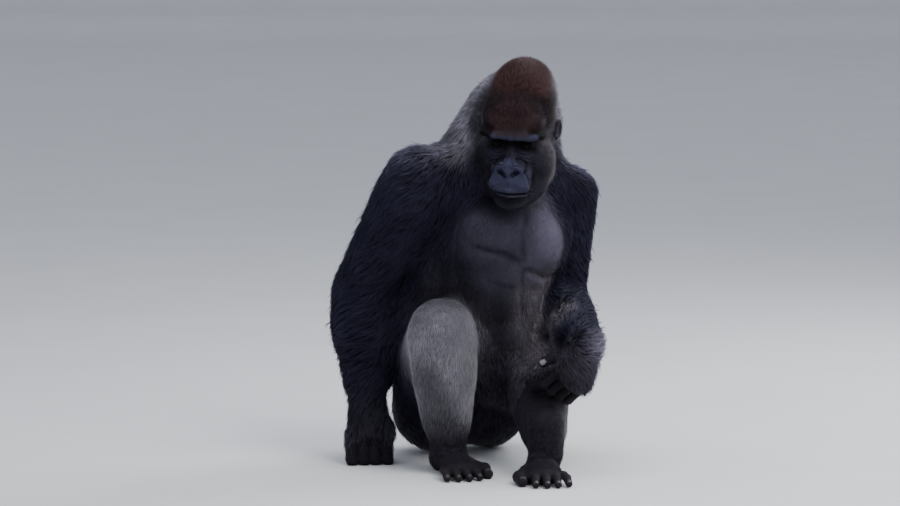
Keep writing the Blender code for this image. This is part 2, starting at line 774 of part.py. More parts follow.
def arm_reach(points, sizes, armpit, out):
    """Return a loose sleeve round an upper arm, cut off at the plane where the arm leaves the trunk."""
    shoulder, elbow, wrist = points
    body = Body()
    body.mass(shoulder, (sizes[0] * 1.36, sizes[0] * 1.36, sizes[0] * 1.36))
    body.limb(
        [
            (shoulder, sizes[0] * 1.25, sizes[0] * 1.25),
            (shoulder.lerp(elbow, 0.50), sizes[1] * 1.20, sizes[1] * 1.20),
            (elbow, sizes[2] * 1.22, sizes[2] * 1.22),
            (elbow.lerp(wrist, 0.22), sizes[2] * 1.25, sizes[2] * 1.25),
        ],
        steps=5,
    )
    made = body.fuse("sleeve", 0.0130, 2)
    thin_to(made, 160)
    bm = bmesh.new()
    turn = out.to_track_quat("Z", "Y").to_matrix().to_4x4()
    bmesh.ops.create_cube(bm, size=1.0, matrix=Matrix.Translation(armpit - 0.5 * out) @ turn)
    mesh = bpy.data.meshes.new("half")
    bm.to_mesh(mesh)
    bm.free()
    half = bpy.data.objects.new("half", mesh)
    bpy.context.scene.collection.objects.link(half)
    combine(made, half)
    drop(half)
    return made


def build_trunk_nodes(nodes):
    """Make the trunk, the neck and both upper arms from one solid."""
    whole = build_upper_body()
    sides = (
        ("right", (R_SHOULDER, R_ELBOW, R_WRIST), R_ARM_SIZES, R_ARMPIT, R_ARMPIT_OUT),
        ("left", (L_SHOULDER, L_ELBOW, L_WRIST), L_ARM_SIZES, L_ARMPIT, L_ARMPIT_OUT),
    )
    for side, points, sizes, armpit, out in sides:
        sleeve = arm_reach(points, sizes, armpit, out)
        arm = whole.copy()
        arm.data = whole.data.copy()
        bpy.context.scene.collection.objects.link(arm)
        combine(arm, sleeve, "INTERSECT")
        keep_largest(arm)
        make_room(whole, sleeve)
        drop(sleeve)
        nodes[f"upper_arm_{side}"] = (arm, COAT)
    middle = {"trunk": CHEST + Vector((0.0, 0.0, -0.100)), "neck": NECK}
    frame = head_frame()
    back = (frame.to_3x3() @ SKULL_OUT).normalized()
    head = nodes["head"][0]
    keep_side(head, frame @ SKULL_BACK, back, 0.450, False)
    for name, item in part_by(whole, [(NECK_BASE, NECK_UP, 0.340)], middle).items():
        nodes[name] = (item, COAT)
    keep_side(nodes["neck"][0], frame @ SKULL_BACK, back, 0.450, True)
    make_room(nodes["trunk"][0], head)


def build_limb_nodes(nodes):
    """Make forearms, thighs, shins, hands and feet, with their digits."""
    trunk = nodes["trunk"][0]
    digits = {}
    arms = (
        ("right", (R_SHOULDER, R_ELBOW, R_WRIST), R_ARM_SIZES, build_right_hand),
        ("left", (L_SHOULDER, L_ELBOW, L_WRIST), L_ARM_SIZES, build_left_hand),
    )
    for side, points, sizes, build_hand in arms:
        forearm = build_forearm(f"forearm_{side}", points, sizes, 230)
        upper = nodes[f"upper_arm_{side}"][0]
        meet(upper, forearm, points[1], miter(*points), sizes[2] * 1.9)
        make_room(forearm, trunk)
        palm, fingers = build_hand()
        bend = (points[2] - points[1]).normalized()
        meet(forearm, palm, points[2] - 0.010 * bend, bend, sizes[5] * 2.6)
        digits[side] = [palm, *fingers.values()]
        nodes[f"forearm_{side}"] = (forearm, COAT)
        nodes[f"hand_{side}"] = (palm, BARE)
    legs = (
        ("right", (R_HIP, R_KNEE, R_ANKLE), R_LEG_SIZES, (-0.138, -0.178), (-0.171, -0.439), 1.0),
        ("left", (L_HIP, L_KNEE, L_ANKLE), L_LEG_SIZES, (0.060, -0.372), (-0.040, -0.640), -1.0),
    )
    for side, points, sizes, heel, toe, inner in legs:
        whole = build_leg(f"leg_{side}", points, sizes, 330)
        floor_cut(whole, 0.001)
        make_room(whole, trunk)
        if side == "left":
            make_room(whole, nodes["forearm_left"][0], *digits["left"])
        frame = foot_frame(heel, toe)
        foot = build_foot(f"foot_{side}", points[2], frame, inner)
        bend = (points[2] - points[1]).normalized()
        names = {f"thigh_{side}": points[0].lerp(points[1], 0.6), f"shin_{side}": points[1].lerp(points[2], 0.6)}
        parts = part_by(whole, [(points[1], miter(*points), 0.450)], names)
        down = (bend + Vector((0.0, 0.0, -2.0))).normalized()
        meet(parts[f"shin_{side}"], foot, points[2] + Vector((0.0, 0.0, 0.022)), down, 0.120)
        for name, item in parts.items():
            nodes[name] = (item, SADDLE if name.startswith("shin") else COAT)
        nodes[f"foot_{side}"] = (foot, BARE)
        digits[f"foot {side}"] = [foot, *build_toes(side, frame, inner).values()]
    make_room(nodes["thigh_left"][0], nodes["thigh_right"][0])
    for group in digits.values():
        palm, *items = group
        for i, item in enumerate(items):
            make_room(item, palm, *items[:i])
            nodes[item.name] = (item, BARE)


def centre_over_floor(items):
    """Shift everything so that the origin is under the middle of its outline, on the floor."""
    co = np.concatenate([np.array([v.co[:] for v in item.data.vertices]) for item in items])
    low, high = co.min(axis=0), co.max(axis=0)
    shift = Vector((-(low[0] + high[0]) / 2.0, -(low[1] + high[1]) / 2.0, 0.0))
    for item in items:
        item.data.transform(Matrix.Translation(shift))
    return shift


def main():
    """Build every node, name it and give it its finish."""
    clear_scene()
    home = collection(NAME)
    nodes = {}
    build_head_nodes(nodes)
    build_trunk_nodes(nodes)
    build_limb_nodes(nodes)
    for name, (item, finish) in nodes.items():
        item.name = name
        item.data.name = name
        item.data.materials.clear()
        item.data.materials.append(material(name, finish))
        for owner in list(item.users_collection):
            owner.objects.unlink(item)
        home.objects.link(item)
    centre_over_floor([item for item, finish in nodes.values()])


main()
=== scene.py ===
"""A seated adult male western lowland gorilla, life size: its skin, eyes, nails and coat over a fixed frame.

The skin is one closed surface modelled in rounded masses, with the face carved and folded afterwards.
The coat is many thin closed locks that grow from the skin, lie along it and follow one map of the hair.
Sizes are metres. The modelling is done in the body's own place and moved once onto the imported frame.
"""

from __future__ import annotations

import itertools
import json
import logging
import math
from dataclasses import dataclass, field
from enum import Enum
from typing import Mapping, Sequence

import bmesh
import bpy
import numpy as np
import openvdb
from mathutils import Matrix, Vector

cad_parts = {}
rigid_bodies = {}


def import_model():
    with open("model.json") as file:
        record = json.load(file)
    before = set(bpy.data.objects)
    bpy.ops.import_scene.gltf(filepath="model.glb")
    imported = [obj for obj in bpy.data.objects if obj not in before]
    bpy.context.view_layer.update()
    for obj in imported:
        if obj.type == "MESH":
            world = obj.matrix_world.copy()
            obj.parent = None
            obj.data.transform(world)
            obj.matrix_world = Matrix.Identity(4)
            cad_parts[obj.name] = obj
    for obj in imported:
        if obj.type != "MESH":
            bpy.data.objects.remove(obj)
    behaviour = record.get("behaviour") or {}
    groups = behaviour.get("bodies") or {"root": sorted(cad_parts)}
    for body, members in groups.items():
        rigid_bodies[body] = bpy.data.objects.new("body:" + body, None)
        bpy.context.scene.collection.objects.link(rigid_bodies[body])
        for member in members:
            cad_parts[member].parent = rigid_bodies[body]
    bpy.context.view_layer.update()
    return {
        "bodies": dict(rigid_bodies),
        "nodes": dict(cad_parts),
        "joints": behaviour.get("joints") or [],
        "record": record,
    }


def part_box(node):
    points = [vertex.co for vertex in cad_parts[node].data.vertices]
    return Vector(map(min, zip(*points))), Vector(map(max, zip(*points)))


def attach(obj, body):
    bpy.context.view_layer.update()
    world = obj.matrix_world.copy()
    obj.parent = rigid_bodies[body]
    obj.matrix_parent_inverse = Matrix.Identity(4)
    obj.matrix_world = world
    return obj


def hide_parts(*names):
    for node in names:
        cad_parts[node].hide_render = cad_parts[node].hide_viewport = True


LOG = logging.getLogger("gorilla")
Point = tuple[float, float, float]
Place = Sequence[float]
Way = Place | None
Fields = dict[str, np.ndarray]
Bed = tuple[Vector, Vector, Vector, float]
LIMIT = 190_000
LENGTH, LIFT, DEPTH, WIDTH, DENSITY = range(5)  # the columns of a patch's sizes


def vec(p: Sequence[float]) -> Vector:
    """Return a point as a vector."""
    return xyz(p[0], p[1], p[2])


def xyz(x: float, y: float, z: float) -> Vector:
    """Return a vector."""
    return Vector((x, y, z))


def mm(*lengths: float) -> tuple[float, ...]:
    """Return lengths that are given in millimetres as metres."""
    return tuple(round(length / 1000.0, 6) for length in lengths)


def linear(red: int, green: int, blue: int) -> np.ndarray:
    """Turn a screen colour, each part 0 to 255, into the linear colour that a shader takes."""
    c = np.array((red, green, blue), float) / 255.0
    return np.where(c <= 0.04045, c / 12.92, ((c + 0.055) / 1.055) ** 2.4)


def unit(rows: np.ndarray, least: float = 1e-6) -> np.ndarray:
    """Return rows scaled to length one."""
    return rows / np.maximum(np.linalg.norm(rows, axis=1, keepdims=True), least)


def within(values: np.ndarray, low: float, high: float) -> np.ndarray:
    """Return which values lie between two limits."""
    return (values > low) & (values < high)


def link(name: str, data: bpy.types.ID | None) -> bpy.types.Object:
    """Put a new object in the scene."""
    item = bpy.data.objects.new(name, data)
    bpy.context.scene.collection.objects.link(item)
    return item


def settled(name: str, bm: bmesh.types.BMesh, smooth: bool = False) -> bpy.types.Object:
    """Turn a working mesh into an object and free it."""
    for face in bm.faces if smooth else ():
        face.smooth = True
    mesh = bpy.data.meshes.new(name)
    bm.to_mesh(mesh)
    bm.free()
    return link(name, mesh)


def paint(mesh: bpy.types.Mesh, colours: np.ndarray) -> None:
    """Lay one colour on each vertex."""
    layer = mesh.color_attributes.new("hair", "FLOAT_COLOR", "POINT")
    full = np.concatenate((colours, np.ones((len(colours), 1))), 1)
    layer.data.foreach_set("color", full.astype(np.float32).ravel())


# ---------------------------------------------------------------- the pose


@dataclass(frozen=True)
class Limb:
    """One arm or leg: its three joints and its radii with the coat on."""

    root: Point
    bend: Point
    end: Point
    radii: tuple[float, float, float, float, float, float]

    def at(self, t: float) -> Vector:
        """Return a point along the limb: 0 at the root, 1 at the bend, 2 at the end."""
        if t <= 1.0:
            return vec(self.root).lerp(vec(self.bend), t)
        return vec(self.bend).lerp(vec(self.end), t - 1.0)

    def tube(self, clay: Clay, stops: Sequence[tuple[float, float]], steps: int) -> None:
        """Add round masses along the limb, through stops that are each a place on it and a radius."""
        clay.limb([(self.at(t), radius, radius) for t, radius in stops], steps=steps)


@dataclass(frozen=True)
class Pose:
    """Where the joints of the seated animal are, before it is moved onto the frame."""

    pelvis: Point = (0.043, 0.045, 0.165)
    chest: Point = (0.03, -0.11, 0.56)
    shoulders: Point = (0.027, -0.135, 0.735)
    neck: Point = (0.052, -0.18, 0.88)
    head: Point = (0.029, -0.298, 0.895)
    right_arm: Limb = Limb(
        (-0.207, -0.135, 0.73), (-0.27, 0.055, 0.465), (-0.272, 0.0, 0.165),
        (0.11, 0.098, 0.086, 0.096, 0.074, 0.05),
    )
    left_arm: Limb = Limb(
        (0.25, -0.16, 0.725), (0.285, -0.052, 0.415), (0.172, -0.408, 0.346),
        (0.09, 0.08, 0.071, 0.076, 0.064, 0.05),
    )
    right_leg: Limb = Limb(
        (-0.053, 0.035, 0.165), (-0.169, -0.25, 0.38), (-0.15, -0.246, 0.085),
        (0.13, 0.12, 0.1, 0.098, 0.08, 0.056),
    )
    left_leg: Limb = Limb(
        (0.14, 0.055, 0.165), (0.116, -0.222, 0.25), (0.046, -0.432, 0.085),
        (0.13, 0.114, 0.09, 0.088, 0.074, 0.054),
    )
    chest_twist: float = 11.0
    belly_twist: float = 6.0
    head_yaw: float = -36.0
    head_pitch: float = 18.0
    head_roll: float = 4.0

    def head_frame(self) -> Matrix:
        """Return the matrix from the head's own frame (X to its left, -Y out of the face) to the body's."""
        yaw = Matrix.Rotation(math.radians(self.head_yaw), 4, "Z")
        pitch = Matrix.Rotation(math.radians(self.head_pitch), 4, "X")
        roll = Matrix.Rotation(math.radians(self.head_roll), 4, "Y")
        return Matrix.Translation(self.head) @ yaw @ pitch @ roll

    def foot_frame(self, heel: Place, toe: Place) -> Matrix:
        """Return the matrix of a foot's own frame: origin under the heel, -Y to the toes, Z up."""
        ahead = xyz(toe[0] - heel[0], toe[1] - heel[1], 0.0).normalized()
        x = xyz(-ahead.y, ahead.x, 0.0)
        turn = Matrix((x, -ahead, xyz(0.0, 0.0, 1.0))).transposed()
        return Matrix.Translation((heel[0], heel[1], 0.0)) @ turn.to_4x4()


def turned(about: Point, degrees: float) -> Matrix:
    """Return the matrix of a turn about an upright line through a point."""
    spin = Matrix.Rotation(math.radians(degrees), 4, "Z")
    return Matrix.Translation(about) @ spin @ Matrix.Translation(-vec(about))


# ---------------------------------------------------------------- modelling in masses


class Clay:
    """Rounded masses gathered in one mesh and fused into a single closed surface."""

    def __init__(self, place: Matrix | None = None) -> None:
        """Start with no masses, in the given frame."""
        self.bm = bmesh.new()
        self.place = place if place is not None else Matrix.Identity(4)

    @staticmethod
    def aimed(centre: Place, radii: Place, along: Way, across: Way) -> Matrix:
        """Return the matrix of an ellipsoid.

        Args:
            centre: Its middle.
            radii: Its three radii.
            along: The way its third radius lies.
            across: The way its first radius lies, nearly.

        Returns:
            The matrix from the unit ball.
        """
        turn = Matrix.Identity(3)
        if along is not None:
            z = vec(along).normalized()
            x = vec(across) if across is not None else xyz(1.0, 0.0, 0.0)
            x = x - x.dot(z) * z
            if x.length < 1e-6:
                x = z.orthogonal()
            x.normalize()
            turn = Matrix((x, z.cross(x), z)).transposed()
        return Matrix.Translation(vec(centre)) @ turn.to_4x4() @ Matrix.Diagonal((*radii, 1.0))

    def mass(
        self, centre: Place, radii: Place, along: Way = None, across: Way = None, detail: int = 3
    ) -> None:
        """Add one ellipsoid."""
        matrix = self.place @ self.aimed(centre, radii, along, across)
        bmesh.ops.create_icosphere(self.bm, subdivisions=detail, radius=1.0, matrix=matrix)

    def pair(self, centre: Place, radii: Place, along: Way = None, across: Way = None) -> None:
        """Add an ellipsoid and its mirror image across the frame's own middle."""
        self.mass(centre, radii, along, across)
        flip = lambda p: None if p is None else (-p[0], p[1], p[2])
        self.mass(flip(centre), radii, flip(along), flip(across))

    def masses(self, *rows: tuple[Point, Point], mirror: bool = False) -> None:
        """Add plain ellipsoids.

        Args:
            rows: Each a middle and three radii, in millimetres.
            mirror: Whether those off the frame's own middle are added on both sides.
        """
        for centre, radii in rows:
            add = self.pair if mirror and centre[0] else self.mass
            add(mm(*centre), mm(*radii))

    def limb(
        self,
        stations: Sequence[tuple[Place, float, float]],
        across: Way = None,
        steps: int = 6,
        stretch: float = 1.15,
    ) -> None:
        """Add a run of masses along stations.

        Args:
            stations: Each a point, a half width and a half depth.
            across: The way the half width lies.
            steps: Masses between two stations.
            stretch: How far each mass reaches to the next.
        """
        for first, second in zip(stations[:-1], stations[1:]):
            a, b = vec(first[0]), vec(second[0])
            along = b - a
            reach = along.length / steps
            for i in range(steps + 1):
                t = i / steps
                ease = t * t * (3.0 - 2.0 * t)
                wide = first[1] + (second[1] - first[1]) * ease
                deep = first[2] + (second[2] - first[2]) * ease
                length = max(reach * stretch, 0.85 * min(wide, deep))
                self.mass(a.lerp(b, t), (wide, deep, length), along, across, detail=2)

    def cord(self, stops: Sequence[tuple[Point, float]], steps: int, mirror: bool = False) -> None:
        """Add a rounded roll through stops, and its mirror image if asked.

        Args:
            stops: Each a place and a radius, in millimetres.
            steps: Masses between two stops.
            mirror: Whether it is added on both sides.
        """
        for side in (1.0, -1.0) if mirror else (1.0,):
            stations = []
            for place, radius in stops:
                x, y, z, r = mm(*place, radius)
                stations.append(((side * x, y, z), r, r))
            self.limb(stations, steps=steps)

    def raw(self, name: str) -> bpy.types.Object:
        """Return the masses as one object, not yet fused."""
        return settled(name, self.bm)

    def fuse(self, name: str, voxel: float, smooth: int) -> bpy.types.Object:
        """Return one closed object made of all the masses, with soft hollows where they meet.

        Args:
            name: The object's name.
            voxel: The size of a face.
            smooth: Rounds of smoothing.

        Returns:
            The object.
        """
        made = self.raw(name)
        refuse(made, voxel, smooth)
        return made


def settle(item: bpy.types.Object) -> None:
    """Write an object's modifiers into its mesh."""
    graph = bpy.context.evaluated_depsgraph_get()
    mesh = bpy.data.meshes.new_from_object(item.evaluated_get(graph))
    item.modifiers.clear()
    old = item.data
    item.data = mesh
    bpy.data.meshes.remove(old)


def soften(item: bpy.types.Object, rounds: int) -> None:
    """Give an object rounds of smoothing, which settle writes in."""
    if rounds:
        smooth = item.modifiers.new("soften", "SMOOTH")
        smooth.factor = 0.5
        smooth.iterations = rounds


def refuse(item: bpy.types.Object, voxel: float, smooth: int) -> None:
    """Rebuild an object's surface from small cells and smooth it."""
    remesh = item.modifiers.new("fuse", "REMESH")
    remesh.mode = "VOXEL"
    remesh.voxel_size = voxel
    soften(item, smooth)
    settle(item)


def combine(item: bpy.types.Object, tool: bpy.types.Object, operation: str) -> None:
    """Cut or join an object with another, which is used up."""
    boolean = item.modifiers.new("combine", "BOOLEAN")
    boolean.operation = operation
    boolean.solver = "MANIFOLD"
    boolean.object = tool
    settle(item)
    mesh = tool.data
    bpy.data.objects.remove(tool, do_unlink=True)
    bpy.data.meshes.remove(mesh)


def table(items: Sequence[object], name: str, wide: int = 3, kind: type = np.int32) -> np.ndarray:
    """Return one property of many parts of a mesh as an array.

    Args:
        items: The parts.
        name: The property.
        wide: How many numbers it has.
        kind: The type of the numbers.

    Returns:
        A row for each part.
    """
    found = np.empty(len(items) * wide, kind)
    items.foreach_get(name, found)
    return found.reshape(-1, wide)


def places(mesh: bpy.types.Mesh) -> np.ndarray:
    """Return the vertices of a mesh as an array."""
    return table(mesh.vertices, "co", kind=np.float64)


def normals(mesh: bpy.types.Mesh) -> np.ndarray:
    """Return the vertex normals of a mesh as an array."""
    return table(mesh.vertices, "normal", kind=np.float64)


def put_places(mesh: bpy.types.Mesh, points: np.ndarray) -> None:
    """Write new vertex positions into a mesh."""
    mesh.vertices.foreach_set("co", points.astype(np.float32).ravel())
    mesh.update()


def triangles_of(mesh: bpy.types.Mesh) -> np.ndarray:
    """Return the triangles of a mesh as vertex numbers."""
    mesh.calc_loop_triangles()
    return table(mesh.loop_triangles, "vertices")


# ---------------------------------------------------------------- the map of the hair


class Tone(Enum):
    """The colours of a lock's root, its tip and the skin under it, and how much the locks differ."""

    CREST = ((27, 18, 19), (68, 45, 44), (27, 18, 20), 0.14)
    ARC = ((13, 9, 11), (33, 23, 26), (15, 11, 14), 0.12)
    FOREHEAD = ((25, 17, 19), (60, 40, 43), (26, 18, 21), 0.13)
    TAN = ((40, 31, 32), (92, 72, 66), (46, 40, 46), 0.16)
    NAPE = ((54, 52, 59), (160, 156, 166), (50, 49, 55), 0.36)
    CHEEK = ((24, 22, 27), (60, 55, 64), (34, 32, 40), 0.22)
    # grey cheek hair, partly its own grey and partly painted rim light
    CHEEK_GREY = ((44, 41, 46), (138, 129, 133), (48, 46, 52), 0.3)
    CHEEK_LIT = ((32, 30, 35), (92, 85, 91), (40, 38, 45), 0.28)
    CHIN = ((8, 8, 10), (25, 24, 30), (14, 14, 18), 0.2)
    BLACK = ((13, 13, 19), (53, 51, 70), (18, 18, 25), 0.24)
    # painted shade: the arm's black hair made darker still, to hold down the lamps' light on the forearm's
    # top
    FOREARM = ((10, 10, 15), (40, 40, 58), (14, 14, 20), 0.22)
    SHEEN = ((28, 27, 37), (112, 108, 128), (26, 26, 33), 0.28)
    SADDLE = ((56, 54, 57), (172, 168, 171), (46, 45, 48), 0.4)
    FLANK = ((12, 12, 17), (44, 43, 59), (17, 17, 22), 0.22)
    CHEST = ((36, 35, 43), (78, 75, 89), (54, 52, 63), 0.24)
    # painted light: the bare breast made lighter than the rest of the chest where the lamps fall on it
    BREAST = ((60, 58, 70), (118, 113, 131), (88, 85, 100), 0.24)
    BELLY = ((20, 19, 24), (74, 70, 80), (38, 36, 44), 0.26)
    STREAK = ((66, 62, 68), (190, 180, 187), (76, 72, 80), 0.34)
    SHIN = ((84, 82, 90), (206, 203, 212), (90, 88, 96), 0.26)
    # painted highlight: paler shin hair for the edge that faces the rim lamp
    SHIN_PALE = ((104, 101, 107), (222, 218, 222), (112, 109, 115), 0.24)
    # painted shade: darker shin hair for the side turned away from the lamps
    SHIN_DARK = ((38, 36, 41), (118, 114, 123), (46, 44, 50), 0.28)
    BROWN = ((24, 22, 27), (76, 71, 82), (33, 31, 37), 0.28)
    WRIST = ((30, 28, 34), (116, 112, 128), (38, 35, 40), 0.36)
    KNUCKLE = ((18, 17, 21), (76, 71, 82), (30, 28, 33), 0.3)
    HAND = ((14, 12, 14), (40, 36, 40), (24, 22, 26), 0.25)
    SOLE = ((18, 16, 18), (46, 42, 44), (38, 35, 39), 0.25)
    FACE = ((20, 19, 24), (44, 42, 50), (46, 44, 55), 0.25)
    # slate brow skin, its own colour made lighter and bluer than the face: painted sheen
    BROW = ((22, 22, 27), (44, 44, 54), (50, 51, 66), 0.25)
    # painted shade: near-black skin for the eye sockets, where the brow's shadow falls
    SOCKET = ((4, 4, 5), (10, 10, 13), (3, 3, 4), 0.2)
    # bare nose and muzzle skin, its own colour made lighter and bluer to paint the sky's sheen on its top
    # planes
    NOSE = ((22, 22, 27), (50, 50, 58), (52, 52, 70), 0.25)
    LIPS = ((22, 22, 27), (50, 50, 58), (44, 44, 56), 0.25)
    # painted highlight: a lighter line along the lower lip's edge, in place of the skin's own gloss
    LIP_EDGE = ((22, 22, 27), (50, 50, 58), (62, 60, 68), 0.25)

    def row(self) -> np.ndarray:
        """Return the ten numbers of the tone: three linear colours and the difference."""
        return np.concatenate([linear(*colour) for colour in self.value[:3]] + [self.value[3:]])


class Area(Enum):
    """The pieces the coat is cut into."""

    HEAD = "head"
    NECK = "neck"
    BACK = "back"
    FRONT = "front"
    RIGHT_ARM = "right_arm"
    LEFT_ARM = "left_arm"
    RIGHT_LEG = "right_leg"
    LEFT_LEG = "left_leg"


@dataclass(frozen=True)
class Patch:
    """One stretch of coat, round a line from a to b.

    Attributes:
        area: The piece it belongs to.
        tone: Its colours.
        a: One end of its line.
        b: The other end.
        reach: How far it counts from the line.
        lie: The way its hair points.
        length: The hair's length.
        lift: How far it stands off the skin, in degrees.
        depth: How deep the coat is, from its tips to the skin.
        width: A lock's width.
        dense: Locks on a square centimetre.
        weight: How strongly it counts.
    """

    area: Area
    tone: Tone
    a: Point
    b: Point
    reach: float
    lie: Point
    length: float
    lift: float
    depth: float
    width: float
    dense: float
    weight: float


class CoatMap:
    """Blends the patches into smooth fields over the body."""

    def __init__(self, patches: Sequence[Patch]) -> None:
        """Pack the patches into arrays."""
        self.a = np.array([p.a for p in patches])
        self.b = np.array([p.b for p in patches])
        self.reach = np.array([p.reach for p in patches])
        self.bias = np.log(np.array([p.weight for p in patches]))
        self.lie = unit(np.array([p.lie for p in patches]))
        self.sizes = np.array([(p.length, p.lift, p.depth, p.width, p.dense) for p in patches])
        self.colours = np.array([p.tone.row() for p in patches])
        names = list(Area)
        self.area = np.array([names.index(p.area) for p in patches])

    def shares(self, points: np.ndarray) -> np.ndarray:
        """Return how much each patch counts at each point, each row adding up to one."""
        found = np.empty((len(points), len(self.a)))
        for i in range(len(self.a)):
            run = self.b[i] - self.a[i]
            size = max(float(run @ run), 1e-12)
            t = np.clip(((points - self.a[i]) @ run) / size, 0.0, 1.0)
            gap = points - self.a[i] - t[:, None] * run
            found[:, i] = self.bias[i] - np.einsum("ij,ij->i", gap, gap) / self.reach[i] ** 2
        found -= found.max(axis=1, keepdims=True)
        found = np.exp(found)
        return found / found.sum(axis=1, keepdims=True)

    def depth(self, points: np.ndarray) -> np.ndarray:
        """Return the depth of the coat at each point."""
        return self.shares(points) @ self.sizes[:, DEPTH]

    def hide(self, points: np.ndarray) -> np.ndarray:
        """Return the skin's colour at each point."""
        return self.shares(points) @ self.colours[:, 6:9]


EAR_PLACE: Point = (0.099, 0.008, 0.018)
EYE_PLACE: Point = (0.0385, -0.099, 0.0145)
EYE_RADIUS = 0.0118
LEFT_THUMB = 4  # its nail's number, since the left hand is modelled first, from its index finger to its thumb
RIGHT_FOOT = ((-0.138, -0.178), (-0.171, -0.439), 1.0)
LEFT_FOOT = ((0.06, -0.372), (-0.04, -0.64), -1.0)


class Groomer:
    """Lays patches of coat in one frame, one area at a time. Sizes are in millimetres."""

    def __init__(self, area: Area, frame: Matrix | None = None) -> None:
        """Start with no patches."""
        self.area = area
        self.frame = frame
        self.made: list[Patch] = []

    def place(self, p: Point | Vector, side: int) -> tuple[float, ...]:
        """Return a place in the body's frame, from one in millimetres or from a vector of the body."""
        if isinstance(p, Vector):
            return tuple(p)
        x, y, z = mm(side * p[0], p[1], p[2])
        return tuple(self.frame @ xyz(x, y, z)) if self.frame else (x, y, z)

    def way(self, lie: Point, side: int) -> tuple[float, ...]:
        """Return a direction in the body's frame."""
        return tuple(self.frame.to_3x3() @ xyz(side * lie[0], lie[1], lie[2])) if self.frame else tuple(lie)

    def add(
        self, tone: Tone, a: Point | Vector, b: Point | Vector, reach: float, lie: Point,
        length: float, lift: float, depth: float, width: float = 2.6, dense: float = 4.1,
        weight: float = 1.0, side: int = 1,
    ) -> None:
        """Add one patch: its sizes are those of Patch, and side -1 mirrors it."""
        ends = self.place(a, side), self.place(b, side)
        reach, length, depth, width = mm(reach, length, depth, width)
        way = self.way(lie, side)
        self.made.append(Patch(self.area, tone, *ends, reach, way, length, lift, depth, width, dense, weight))

    def both(self, *row: object, **more: float) -> None:
        """Add one patch and its mirror image."""
        for side in (1, -1):
            self.add(*row, **more, side=side)


